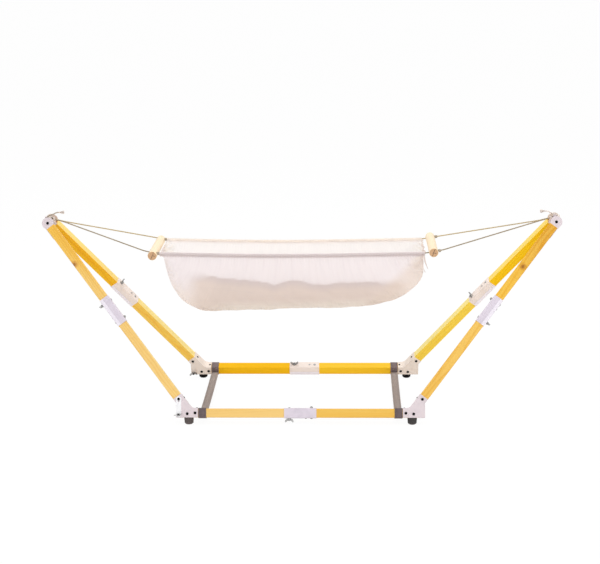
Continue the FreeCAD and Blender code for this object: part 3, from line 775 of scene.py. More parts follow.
@dataclass(frozen=True)
class PlainCotton:
    """Close cotton of the pad's piping and of the cloth's end hems."""

    name: str
    colour: Colour
    shade: Colour
    thread_rate: float = 4600.0

    def seams(self, book: FinishBook) -> Wire | None:
        """Share of sewing thread at a place: none on plain cotton."""
        return None

    def build(self) -> bpy.types.Material:
        """Make the material.

        Returns:
            The finished cotton.
        """
        book = FinishBook(self.name)
        spot = book.place()
        x, y, _ = book.parts(spot)
        threads = ((x * self.thread_rate).sine() * (y * self.thread_rate).sine()) * 0.5 + 0.5
        tuft = book.grain(spot, 240.0, 3.0)
        fade = book.grain(spot, 14.0, 3.0)
        colour = book.mix((fade * 0.7 + tuft * 0.3 - 0.2).clipped(), self.colour, self.shade)
        height = threads * 0.4 + tuft * 0.6
        sewn = self.seams(book)
        if sewn is not None:
            colour = book.mix(sewn * 0.7, colour, self.shade)
            height = height - sewn * 1.5
        book.set(Base_Color=colour, Roughness=0.92, Sheen_Weight=0.2)
        book.bump(height, 0.0005, 0.6)
        return book.material


@dataclass(frozen=True)
class PadCover(PlainCotton):
    """Quilted cotton cover of the pad, sewn in boxes."""

    seam_start: float = -0.395
    seam_gap: float = 0.0811
    seam_out: float = 0.060
    seam_half: float = 0.0009
    stitch_rate: float = 1100.0

    def seams(self, book: FinishBook) -> Wire | None:
        """Share of sewing thread at a place.

        Args:
            book: The material's nodes.

        Returns:
            1 on the stitches.
        """
        x, y, z = book.parts(book.place())
        cross = abs(((x - self.seam_start) * (math.pi / self.seam_gap)).sine()).under(0.035)
        cross = cross * ((y + z) * self.stitch_rate).sine().over(-0.4)
        along = abs(y).under(self.seam_half) + abs(abs(y) - self.seam_out).under(self.seam_half)
        return (cross + along * (x * self.stitch_rate).sine().over(-0.4)).clipped()


@dataclass(frozen=True)
class LeaningFrame:
    """Own plane of a leaning frame: x along the rail, y up the plane, z towards the front."""

    side: Side
    tilt: float = math.radians(20.559)
    spread: float = 0.582
    height: float = 0.040
    leg_bolt: Pair = (0.472, 0.0537)
    peak_bolt: Pair = (0.999, 0.745)
    leg_lap_past: float = 0.005
    rail_lap_past: float = 0.0035

    def matrix(self) -> Matrix:
        """Placement of the plane in the cradle."""
        turn = math.radians(90) + self.side.value * self.tilt
        spot = Vector((0, self.side.value * self.spread / 2, self.height))
        return Matrix.Translation(spot) @ Matrix.Rotation(turn, 4, "X")

    def across(self, x: float, y: float) -> Vector:
        """A direction of the plane in the cradle."""
        return self.matrix().to_3x3() @ Vector((x, y, 0))

    def leg_run(self) -> Vector:
        """Direction up the right leg in the plane."""
        run = Vector(self.peak_bolt) - Vector(self.leg_bolt)
        return run.normalized()

    def lap(self, start: Pair, across: Vector, past_axis: float) -> tuple[Vector, float]:
        """Place of a coupling's lap.

        Args:
            start: A point of the bar's axis in the plane.
            across: Direction across the bar in the cradle.
            past_axis: Distance of the lap's edge past the axis.

        Returns:
            The direction, and the edge's place along it.
        """
        axis = self.matrix() @ Vector((*start, 0))
        return across, axis.dot(across) + past_axis

    def leg_lap(self, end: End) -> tuple[Vector, float]:
        """Place of the lap on a leg's coupling, on its outer side."""
        run = self.leg_run()
        outward = self.across(end.value * run.y, -run.x)
        return self.lap((end.value * self.leg_bolt[0], self.leg_bolt[1]), outward, self.leg_lap_past)

    def rail_lap(self) -> tuple[Vector, float]:
        """Place of the lap on the rail's coupling, at its lower half."""
        return self.lap((0.0, 0.0), self.across(0, -1), self.rail_lap_past)

    def leg_direction(self, end: End) -> Vector:
        """Direction up a leg in the cradle."""
        run = self.leg_run()
        return self.across(end.value * run.x, run.y)


def placed(name: str, data: Any) -> bpy.types.Object:
    """Put a mesh, curve, lamp or camera into the scene as an object."""
    obj = bpy.data.objects.new(name, data)
    bpy.context.scene.collection.objects.link(obj)
    return obj


def length_of(line: Sequence[Vector]) -> float:
    """Length along a line of points."""
    return sum((after - before).length for before, after in zip(line, line[1:]))


class Workshop:
    """Turns bmesh and curve work into finished pieces."""

    def __init__(self, frame: dict[str, Any]) -> None:
        """Keep the loaded frame and an empty shelf of materials."""
        self.frame = frame
        self.shelf: dict[str, bpy.types.Material] = {}

    def finish(self, style: Any) -> bpy.types.Material:
        """Make a finish's material once and return it."""
        if style.name not in self.shelf:
            self.shelf[style.name] = style.build()
        return self.shelf[style.name]

    def dress(self, node: str, style: Any) -> None:
        """Give a CAD node a finish."""
        mesh = self.frame["nodes"][node].data
        mesh.materials.clear()
        mesh.materials.append(self.finish(style))

    def piece(
        self,
        name: str,
        mesh: bpy.types.Mesh,
        style: Any,
        body: str | None,
        slot: str,
        stands_for: Iterable[str] = (),
    ) -> bpy.types.Object:
        """Make a piece from a mesh that is already in its place.

        Args:
            name: The piece's name.
            mesh: Its mesh, in the cradle's frame.
            style: Its finish.
            body: The CAD body that it rides on, or None where it is left unattached.
            slot: The record's material slot; not used.
            stands_for: CAD nodes that it replaces.

        Returns:
            The new object.
        """
        mesh.materials.clear()
        mesh.materials.append(self.finish(style))
        obj = placed(name, mesh)
        if body is not None:
            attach(obj, body)
        if stands_for:
            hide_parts(*stands_for)
        LOG.info("%s: %d faces", name, len(mesh.polygons))
        return obj

    @staticmethod
    def mesh_of(work: bmesh.types.BMesh, name: str, even: bool = True) -> bpy.types.Mesh:
        """Write a bmesh to a smooth-shaded mesh and free it.

        Args:
            work: The bmesh.
            name: The mesh's name.
            even: Whether normals are recalculated to point outwards.

        Returns:
            The new mesh.
        """
        if even:
            bmesh.ops.recalc_face_normals(work, faces=work.faces[:])
        mesh = bpy.data.meshes.new(name)
        work.to_mesh(mesh)
        work.free()
        mesh.shade_smooth()
        return mesh

    @staticmethod
    def thicken(obj: bpy.types.Object, thickness: float, even: bool) -> None:
        """Give a sheet its thickness to both sides, kept even round bends where that is asked."""
        solid = obj.modifiers.new("thickness", "SOLIDIFY")
        solid.thickness = thickness
        solid.offset = 0.0
        solid.use_even_offset = even

    @staticmethod
    def curve_mesh(curve: bpy.types.Curve, lines: Sequence[Sequence[Vector]], kind: str) -> bpy.types.Mesh:
        """Mesh of a curve with one spline for each line.

        Args:
            curve: The curve, which is used up.
            lines: Points of each spline.
            kind: NURBS for a smooth line that ends at its end points, or POLY.

        Returns:
            The new mesh.
        """
        curve.dimensions = "3D"
        for line in lines:
            spline = curve.splines.new(kind)
            spline.points.add(len(line) - 1)
            for place, point in zip(spline.points, line):
                place.co = (*point, 1.0)
            if kind == "NURBS":
                spline.order_u = 3
                spline.use_endpoint_u = True
        obj = placed(curve.name, curve)
        bpy.context.view_layer.update()
        mesh = bpy.data.meshes.new_from_object(obj)
        bpy.data.objects.remove(obj)
        bpy.data.curves.remove(curve)
        return mesh

    @classmethod
    def line_points(cls, points: Sequence[Vector], detail: int) -> list[Vector]:
        """Points of the smooth line that a route's NURBS spline gives.

        Args:
            points: The route's control points.
            detail: Steps for each stretch of the spline.

        Returns:
            Points along the line.
        """
        curve = bpy.data.curves.new("route", "CURVE")
        curve.resolution_u = detail
        read = cls.curve_mesh(curve, [points], "NURBS")
        found = [vertex.co.copy() for vertex in read.vertices]
        bpy.data.meshes.remove(read)
        return found

    @classmethod
    def tubes(cls, name: str, lines: Sequence[Sequence[Vector]], radius: float, sides: int) -> bpy.types.Mesh:
        """Round tubes along lines, as one mesh.

        Args:
            name: The mesh's name.
            lines: One list of points for each tube.
            radius: The tubes' radius.
            sides: Roundness, as the curve's bevel steps.

        Returns:
            The new mesh.
        """
        curve = bpy.data.curves.new(name, "CURVE")
        curve.bevel_depth = radius
        curve.bevel_resolution = sides
        curve.use_fill_caps = True
        mesh = cls.curve_mesh(curve, lines, "POLY")
        mesh.name = name
        mesh.shade_smooth()
        return mesh


def even_steps(points: Sequence[Vector], step: float) -> list[Vector]:
    """Pick points at even steps along a line.

    Args:
        points: Points along the line.
        step: Wanted distance.

    Returns:
        Evenly spaced points from end to end.
    """
    reach = [0.0]
    for first, second in zip(points, points[1:]):
        reach.append(reach[-1] + (second - first).length)
    count = max(2, round(reach[-1] / step))
    found = []
    index = 0
    for number in range(count + 1):
        wanted = reach[-1] * number / count
        while index < len(points) - 2 and reach[index + 1] < wanted:
            index += 1
        gap = reach[index + 1] - reach[index]
        share = (wanted - reach[index]) / gap if gap > 1e-12 else 0.0
        found.append(points[index].lerp(points[index + 1], share))
    return found


@dataclass
class RopeWork:
    """The two ropes, the lashings at the peaks, and their knots."""

    shop: Workshop
    diameter: float = 0.005
    lay: float = 0.017
    steps_a_lay: int = 11
    hinge_z: float = 0.757506
    hinge_reach: float = 0.0205
    hinge_rise: float = 0.774
    peak_x: float = 0.999
    pair_half: float = 0.00265
    pair_places: tuple[Spot, ...] = ((0.024, 0.0084, 1.0), (0.034, 0.0104, 1.0), (0.058, 0.017, 1.3))
    hole_y: float = 0.128
    entry_left: Pair = (-0.606, 0.649)
    entry_right: Pair = (0.547, 0.6495)
    hem_left: Pair = (-0.554, 0.639)
    hem_right: Pair = (0.485, 0.6385)
    dip: Pair = (-0.090, 0.629)
    close: float = 0.030
    stop_knots: tuple[tuple[End, float], ...] = ((End.LEFT, -0.5537), (End.RIGHT, 0.5405))
    stop_knot_radius: float = 0.0040
    peak_knot_radius: float = 0.0038
    turn_steps: int = 20
    lashing_places: tuple[Spot, ...] = (
        (0.018, -0.004, 0.0),
        (0.008, -0.0088, -0.0005),
        (-0.012, -0.0122, -0.0005),
        (-0.023, -0.014, -0.0005),
        (-0.023, -0.014, 0.0095),
        (-0.013, -0.0043, 0.0095),
        (-0.004, 0.0045, 0.0095),
        (0.018, 0.012, 0.0095),
        (0.029, 0.019, 0.0095),
        (0.041, 0.019, 0.0095),
    )
    yarns: int = 54
    yarn_angle: float = 2.39996
    yarn_radius: float = 0.0004
    style: LaidCord = field(default_factory=LaidCord)
    # Darker copy of the cord for the front rope and paler one for the back rope: painted shade and painted
    # light.
    front_style: LaidCord = LaidCord("front_cord", srgb(190, 174, 146), srgb(134, 117, 90))
    back_style: LaidCord = LaidCord("back_cord", srgb(223, 205, 160), srgb(168, 147, 104))
    # Paler copy of the cord: painted light on the knots in the shaded gap between the caps and on the right
    # lashing; the frayed ends take it too.
    pale_style: LaidCord = LaidCord("pale_cord", srgb(252, 242, 235), srgb(226, 213, 204))
    lines: dict[Side, list[Vector]] = field(default_factory=dict)

    def route(self, side: Side) -> list[Vector]:
        """Control points of one rope from the left peak to the right peak.

        Args:
            side: Front or back rope.

        Returns:
            The points.
        """
        near = side.value * self.pair_half
        far = side.value * self.hole_y
        dip = Vector((self.dip[0], far, self.dip[1]))

        def towards(start: Vector, goal: Vector) -> Vector:
            """A point close to the start, on the way to the goal."""
            return start + (goal - start).normalized() * self.close

        def half(end: End, entry_at: Pair, hem_at: Pair) -> list[Vector]:
            """Points from one peak to just inside the hem."""
            paired = [
                Vector((end.value * (self.peak_x - inward), near * widening, self.hinge_z - drop))
                for inward, drop, widening in self.pair_places
            ]
            split = paired[-1]
            entry = Vector((entry_at[0], far, entry_at[1]))
            hem = Vector((hem_at[0], far, hem_at[1]))
            return paired + [towards(split, entry), towards(entry, split), entry, hem, towards(hem, dip)]

        left = half(End.LEFT, self.entry_left, self.hem_left)
        right = half(End.RIGHT, self.entry_right, self.hem_right)
        return left + [dip] + right[::-1]

    def point_at(self, side: Side, x: float) -> Vector:
        """Point of a rope's middle line at an x."""
        line = self.lines[side]
        for first, second in zip(line, line[1:]):
            if first.x <= x <= second.x:
                return first.lerp(second, (x - first.x) / max(1e-9, second.x - first.x))
        return line[-1].copy()

    def lashing_route(self, end: End) -> list[Vector]:
        """Control points of the rope tied round the hinge at one peak.

        Args:
            end: Left or right peak.

        Returns:
            The points.
        """
        plane = LeaningFrame(Side.FRONT).matrix()
        found = []
        for inward, up, forward in self.lashing_places:
            x = end.value * (self.peak_x - inward)
            found.append(plane @ Vector((x, self.hinge_rise + up, forward - self.hinge_reach)))
        return found

    def strands(self, name: str, line: Sequence[Vector]) -> bpy.types.Mesh:
        """Three strands laid round a line.

        Args:
            name: The mesh's name.
            line: Points along the rope's middle.

        Returns:
            The strands as one mesh.
        """
        points = even_steps(line, self.lay / self.steps_a_lay)
        radius = self.diameter / 4
        up = Vector((0, 0, 1))
        twists: list[list[Vector]] = [[], [], []]
        travelled = 0.0
        for index, point in enumerate(points):
            before = points[max(0, index - 1)]
            after = points[min(len(points) - 1, index + 1)]
            run = (after - before).normalized()
            up = (up - run * up.dot(run)).normalized()
            aside = run.cross(up)
            if index:
                travelled += (point - points[index - 1]).length
            for number, strand in enumerate(twists):
                angle = math.tau * (travelled / self.lay + number / 3)
                strand.append(point + (up * math.cos(angle) + aside * math.sin(angle)) * radius * 1.05)
        return self.shop.tubes(name, twists, radius * 1.02, 1)

    def wraps(self, name: str, centre: Vector, run: Vector, turns: int, radius: float) -> bpy.types.Mesh:
        """Rope wound tight round ropes, as a knot.

        Args:
            name: The mesh's name.
            centre: The knot's middle.
            run: Direction of the ropes in it.
            turns: How many turns.
            radius: Radius at the middle of the wound rope.

        Returns:
            The knot's mesh.
        """
        run = run.normalized()
        up = run.orthogonal().normalized()
        aside = run.cross(up)
        pitch = self.diameter * 0.86
        count = turns * self.turn_steps
        line = []
        for step in range(count + 1):
            angle = math.tau * step / self.turn_steps
            from_middle = step / count - 0.5
            shift = from_middle * pitch * turns
            swell = radius * (1 + 0.10 * math.cos(math.pi * from_middle))
            line.append(centre + run * shift + (up * math.cos(angle) + aside * math.sin(angle)) * swell)
        return self.strands(name, line)

    def brush(self, name: str, root: Vector, run: Vector) -> bpy.types.Mesh:
        """Frayed end: loose yarns that fan out.

        Args:
            name: The mesh's name.
            root: Where the rope stops being laid.
            run: Its direction there.

        Returns:
            The yarns as one mesh.
        """
        pick = random.Random(7)
        run = run.normalized()
        up = run.orthogonal().normalized()
        aside = run.cross(up)
        yarns = []
        for number in range(self.yarns):
            angle = number * self.yarn_angle
            spread = math.sqrt((number + 0.5) / self.yarns)
            out = up * math.cos(angle) + aside * math.sin(angle)
            start = root - run * 0.002 + out * spread * 0.0022
            reach = 0.017 + pick.random() * 0.0045
            bow = out * spread * (0.0024 + pick.random() * 0.0016)
            droop = Vector((0, 0, -0.0012 * pick.random()))
            middle = start + run * reach * 0.5 + bow * 0.7
            yarns.append([start, middle, start + run * reach + bow * 1.5 + droop])
        return self.shop.tubes(name, yarns, self.yarn_radius, 0)

    def build(self) -> None:
        self.build_ropes()
        self.build_lashings()

    def build_ropes(self) -> None:
        """Make both ropes with their stop knots."""
        for side in Side:
            line = self.shop.line_points(self.route(side), 64)
            self.lines[side] = line
            node = f"{side.word}_rope"
            mesh = self.strands(f"{node}_laid", line)
            # Painted shade on the front rope, painted light on the back rope.
            style = self.front_style if side is Side.FRONT else self.back_style
            obj = self.shop.piece(f"{node}_laid", mesh, style, "hammock", "rope", [node])
            length_of(line)
            for end, x in self.stop_knots:
                spot = self.point_at(side, x)
                run = self.point_at(side, x + 0.002) - spot
                name = f"{side.word}_{end.word}_stop_knot"
                wound = self.wraps(name, spot, run, 2, self.stop_knot_radius)
                self.shop.piece(name, wound, self.style, "hammock", "rope")

    def build_lashings(self) -> None:
        """Make the lashing at each peak with its knot and frayed end."""
        for end in End:
            line = self.shop.line_points(self.lashing_route(end), 24)
            node = f"{end.word}_peak_lashing"
            mesh = self.strands(f"{node}_laid", line)
            # Painted light on the right lashing.
            style = self.style if end is End.LEFT else self.pale_style
            obj = self.shop.piece(f"{node}_laid", mesh, style, "front_frame", "rope", [node])
            name = f"{end.word}_peak_knot"
            # Painted light on the knot, in the shaded gap between the caps.
            mesh = self.wraps(name, line[0], Vector((1, 0, 0.1)), 1, self.peak_knot_radius)
            knot = self.shop.piece(name, mesh, self.pale_style, "front_frame", "rope")
            name = f"{end.word}_frayed_end"
            mesh = self.brush(name, line[-1], line[-1] - line[-4])
            fray = self.shop.piece(name, mesh, self.pale_style, "front_frame", "rope")
            length_of(line)


@dataclass
class ClothTub:
    """The gathered cloth: a rectangle of cotton hung from the ropes by its hems."""

    shop: Workshop
    ropes: RopeWork
    pad: "SoftPad"
    left_x: float = -0.5495
    right_x: float = 0.4835
    left_bottom: float = 0.3855
    right_bottom: float = 0.4015
    bend_height: float = 0.158
    left_sweep: float = 0.138
    right_sweep: float = 0.285
    side_sweep: float = 0.084
    left_lean: float = 0.046
    half_width: float = 0.128
    hem_radius: float = 0.0052
    hem_turn_in: float = 0.0065
    turn_in_rows: int = 3
    columns: int = 430
    rows: int = 50
    loop_rows: int = 14
    gathers: int = 94
    full_depth: float = 0.248
    keel_step: float = 0.004
    rib_step: float = 0.002
    end_hem_radius: float = 0.0017
    tail_width: float = 0.0056
    tail_thickness: float = 0.0009
    tail_y: float = -0.1365
    tails: tuple[tuple[Pair, ...], ...] = (
        ((0.4806, 0.6310), (0.4831, 0.6114), (0.4887, 0.5935), (0.4959, 0.5767)),
        ((0.4760, 0.6310), (0.4739, 0.6054), (0.4772, 0.5835), (0.4852, 0.5635)),
        ((0.4703, 0.6300), (0.4609, 0.6008), (0.4658, 0.5788), (0.4753, 0.5616)),
    )
    end_hem_style: PlainCotton = PlainCotton("end_hem_cotton", srgb(240, 226, 218), srgb(222, 206, 197))

    def rim(self, side: Side, share: float) -> Vector:
        """Point of the rope's middle in a hem, at a share of the rim's length."""
        return self.ropes.point_at(side, self.left_x + (self.right_x - self.left_x) * share)

    def keel(self) -> list[Vector]:
        """Middle line of the tub from the left rim down, along and up to the right rim."""
        left_rim = self.ropes.hem_left[1]
        right_rim = self.ropes.hem_right[1]
        line = []
        for end, x, rim, bottom, sweep, lean in (
            (End.LEFT, self.left_x, left_rim, self.left_bottom, self.left_sweep, self.left_lean),
            (End.RIGHT, self.right_x, right_rim, self.right_bottom, self.right_sweep, 0.0),
        ):
            wall = rim - bottom - self.bend_height
            half_line = [(0.0, wall * step / 6) for step in range(6)]
            for degree in range(0, 91, 6):
                angle = math.radians(degree)
                half_line.append((sweep * (1 - math.cos(angle)), wall + self.bend_height * math.sin(angle)))
            spots = []
            for inward, drop in half_line:
                inward += lean * drop / (rim - bottom)
                spots.append(Vector((x - end.value * inward, 0, rim - drop)))
            line += spots if end is End.LEFT else spots[::-1]
        return line

    def rib(self, share: float, low: Vector) -> list[Vector]:
        """One line across the tub from the front rim to the keel, before folds are laid in.

        Args:
            share: Place along the cloth, 0 to 1.
            low: The keel's point there.

        Returns:
            Points from the rim's underside to the keel.
        """
        top = self.rim(Side.FRONT, share) - Vector((0, 0, self.hem_radius))
        depth = max(0.0, top.z - low.z)
        full = depth / self.full_depth
        wall = depth * 0.36
        bend = depth - wall
        sweep = self.side_sweep * min(1.0, 0.25 + full)
        raw = [(0.0, wall * step / 8) for step in range(8)]
        for degree in range(0, 91, 5):
            angle = math.radians(degree)
            raw.append((sweep * (1 - math.cos(angle)), wall + bend * math.sin(angle)))
        last = raw[-1][0]
        raw += [(last + (self.half_width - last) * step / 8, depth) for step in range(1, 9)]
        reach = [0.0]
        for first, second in zip(raw, raw[1:]):
            reach.append(reach[-1] + math.dist(first, second))
        line = []
        for (inward, drop), done in zip(raw, reach):
            part = done / reach[-1]
            belly = 0.0025 * math.sin(math.pi * min(1.0, part * 2.2)) * min(1.0, full)
            x = top.x + (low.x - top.x) * smooth(0.0, 0.85, part)
            line.append(Vector((x, -self.half_width - belly + inward, top.z - drop)))
        return line

    def hem_ring(self, share: float, side: Side, ripple: float) -> list[Vector]:
        """The cloth's turned-in edge and its loop round the rope, from the raw edge to the wall.

        Args:
            share: Place along the cloth, 0 to 1.
            side: Front or back hem.
            ripple: How much the gathers swell the loop there.

        Returns:
            Points from the raw edge to the wall's top.
        """
        middle = self.rim(side, share)
        inward = -side.value
        radius = self.hem_radius + ripple
        line = []
        for step in range(self.turn_in_rows):
            drop = self.hem_turn_in * (1 - step / self.turn_in_rows)
            line.append(middle + Vector((0, inward * 0.0016, -radius - drop)))
        for step in range(self.loop_rows):
            angle = math.radians(-78 + 336 * step / self.loop_rows)
            line.append(middle + Vector((0, inward * radius * math.cos(angle), radius * math.sin(angle))))
        return line

    def pad_behind(self, place: Vector) -> tuple[float, float]:
        """Where the pad's shade is painted on the cloth, as the pad shows through it.

        Args:
            place: A point of the cloth.

        Returns:
            Share of the pad's shade there, and how far the pad's edge lies over the place, in metres.
        """
        left = self.pad.edge[0][0]
        right = self.pad.edge[-1][0]
        top = self.pad.edge_height(min(right, max(left, place.x)))
        ragged = 0.004 * noise.noise(Vector((place.x * 34, place.y * 10, 5.0)))
        over = top + ragged - place.z
        at_left = 1 - smooth(left, left + 0.05, place.x)
        at_right = smooth(right - 0.06, right, place.x)
        blur = 0.006 + 0.03 * at_left + 0.02 * at_right
        shade = smooth(-blur / 2, blur, over)
        shade *= smooth(left - 0.07, left + 0.01, place.x) * (1 - smooth(right + 0.03, right + 0.12, place.x))
        return shade, over

    def fold(self, share: float, part: float, place: Vector) -> float:
        """Height of the folds at one place of the cloth, along its normal.

        Args:
            share: Place along the cloth, 0 to 1.
            part: Place down from the rim, 0 to 1 at the keel.
            place: The point, for slow drift.

        Returns:
            The height in metres.
        """
        drift = noise.noise(Vector((share * 9, part * 2.5, place.y * 6))) * 1.7
        fine = math.sin(math.tau * self.gathers * share + drift * 2.2)
        broad = noise.noise(Vector((share * 46 + drift * 0.4, part * 1.6, 3.0 + place.y * 4)))
        sag = noise.noise(Vector((share * 15, part * 3.2 + share * 4, 9.0)))
        slant = noise.noise(Vector((share * 30 - part * 7, part * 5, 17.0)))
        ends = smooth(0.80, 0.97, share) + 0.6 * (1 - smooth(0.02, 0.14, share))
        height = 0.0010 * fine * math.exp(-part / 0.09) * (0.5 + 0.8 * abs(broad))
        height += (0.0020 + 0.0045 * ends) * broad * math.exp(-((part - 0.12) / 0.42) ** 2)
        height += 0.0035 * sag * smooth(0.15, 0.5, part)
        height += 0.0032 * slant * smooth(0.3, 0.62, part) * (1 - smooth(0.8, 1.0, part))
        return height

    @staticmethod
    def ruffle(share: float, part: float, place: Vector) -> Vector:
        """Move of the loose, gathered end at the right.

        Args:
            share: Place along the cloth, 0 to 1.
            part: Place down from the rim, 0 to 1 at the keel.
            place: The point.

        Returns:
            The move.
        """
        loose = smooth(0.955, 1.0, share) * smooth(0.01, 0.08, part)
        wave = noise.noise(Vector((place.y * 62, place.z * 62, 2.0 + share * 7)))
        curl = noise.noise(Vector((place.y * 40, place.z * 40, 31.0 + share * 16)))
        pucker = 1 + 1.2 * smooth(0.04, 0.1, part) * (1 - smooth(0.14, 0.24, part))
        return Vector((0.0075 * wave, 0.006 * curl, 0.0)) * loose * pucker

    def loose_tails(self) -> bpy.types.Mesh:
        """Loose tape ends that hang curled from the right end of the front hem."""
        work = bmesh.new()
        half = self.tail_width / 2
        for number, places in enumerate(self.tails):
            line = self.shop.line_points([Vector((x, self.tail_y, z)) for x, z in places], 8)
            last = len(line) - 1
            made = bmesh.ops.create_grid(work, x_segments=1, y_segments=last, size=1.0)["verts"]
            for vert in made:
                row = round((vert.co.y + 1) / 2 * last)
                run = line[min(last, row + 1)] - line[max(0, row - 1)]
                flat = Vector((-run.z, 0, run.x)).normalized()
                turn = 0.5 * number + 1.4 * row / last
                across = flat * math.cos(turn) - Vector((0, math.sin(turn), 0))
                vert.co = line[row] + across * (half * vert.co.x)
        return self.shop.mesh_of(work, "hem_tails")

    def across(self, share: float, low: Vector) -> list[Vector]:
        """One line of the cloth from the front's raw edge over the keel to the back's raw edge.

        Args:
            share: Place along the cloth, 0 to 1.
            low: The keel's point there.

        Returns:
            A point for each row of the cloth's grid.
        """
        ripple = 0.0004 * math.sin(math.tau * self.gathers * share) + 0.0003
        wall = even_steps(self.rib(share, low), self.rib_step)
        spots = [wall[round(step * (len(wall) - 1) / self.rows)] for step in range(self.rows + 1)]
        front = self.hem_ring(share, Side.FRONT, ripple) + spots
        back = self.hem_ring(share, Side.BACK, ripple) + [Vector((p.x, -p.y, p.z)) for p in spots]
        return front + back[::-1][1:]

    def lay_folds(self, grid: Grid, hem_rows: int, all_rows: int) -> None:
        """Move the cloth between the hems into its folds and its ruffled end.

        Args:
            grid: The cloth's points by column and row.
            hem_rows: Rows in each hem.
            all_rows: Number of the last row.
        """
        moves = []
        for (column, row), vert in grid.items():
            from_hem = min(row, all_rows - row) - hem_rows
            if from_hem > 0:
                share = column / self.columns
                part = from_hem / self.rows
                height = self.fold(share, part, vert.co) * smooth(0.0, 0.06, part)
                moves.append((vert, vert.normal * height + self.ruffle(share, part, vert.co)))
        for vert, move in moves:
            vert.co += move

    def build(self) -> None:
        keel = even_steps(self.keel(), self.keel_step)
        reach = length_of(keel)
        hem_rows = self.loop_rows + self.turn_in_rows
        half_rows = hem_rows + self.rows
        all_rows = 2 * half_rows
        work = bmesh.new()
        layer = work.loops.layers.uv.new("cloth")
        lining = work.verts.layers.float.new("lining")
        under_edge = work.verts.layers.float.new("under_edge")
        over_keel = work.verts.layers.float.new("over_keel")
        bmesh.ops.create_grid(work, x_segments=self.columns, y_segments=all_rows, size=1.0)
        grid: Grid = {}
        for vert in work.verts:
            column = round((vert.co.x + 1) / 2 * self.columns)
            row = round((vert.co.y + 1) / 2 * all_rows)
            grid[column, row] = vert
        depths: dict[tuple[int, int], float] = {}
        for column in range(self.columns + 1):
            share = column / self.columns
            line = self.across(share, keel[round(share * (len(keel) - 1))])
            done = 0.0
            for row, place in enumerate(line):
                if row:
                    done += (place - line[row - 1]).length
                depths[column, row] = done
                grid[column, row].co = place
        width = max(depths.values())
        bmesh.ops.recalc_face_normals(work, faces=work.faces[:])
        if grid[self.columns // 2, half_rows].link_faces[0].normal.z > 0:
            bmesh.ops.reverse_faces(work, faces=work.faces[:])
        work.normal_update()
        self.lay_folds(grid, hem_rows, all_rows)
        for (column, row), vert in grid.items():
            slack = 0.0 if row <= half_rows else width - depths[column, all_rows]
            for loop in vert.link_loops:
                loop[layer].uv = (column / self.columns * reach, depths[column, row] + slack)
            # Painted shade of the pad, and the depth below its edge, kept at each point.
            vert[lining], vert[under_edge] = self.pad_behind(vert.co)
            vert[over_keel] = vert.co.z - grid[column, half_rows].co.z
        inner_rows = range(hem_rows, all_rows - hem_rows + 1)
        end_lines = [[grid[column, row].co.copy() for row in inner_rows] for column in (0, self.columns)]
        mesh = self.shop.mesh_of(work, "gathered_cloth", even=False)
        style = ThinCotton(width, reach, depths[0, hem_rows] + self.hem_turn_in)
        obj = self.shop.piece("gathered_cloth", mesh, style, "hammock", "cotton", ["hammock_cloth"])
        tape = self.shop.tubes("cloth_end_hems", end_lines, self.end_hem_radius, 2)
        hems = self.shop.piece("cloth_end_hems", tape, self.end_hem_style, "hammock", "cotton")
        tails = self.shop.piece("hem_tails", self.loose_tails(), self.end_hem_style, "hammock", "cotton")
        self.shop.thicken(tails, self.tail_thickness, False)
        LOG.info("cloth cut %.3f by %.3f m", width, reach)


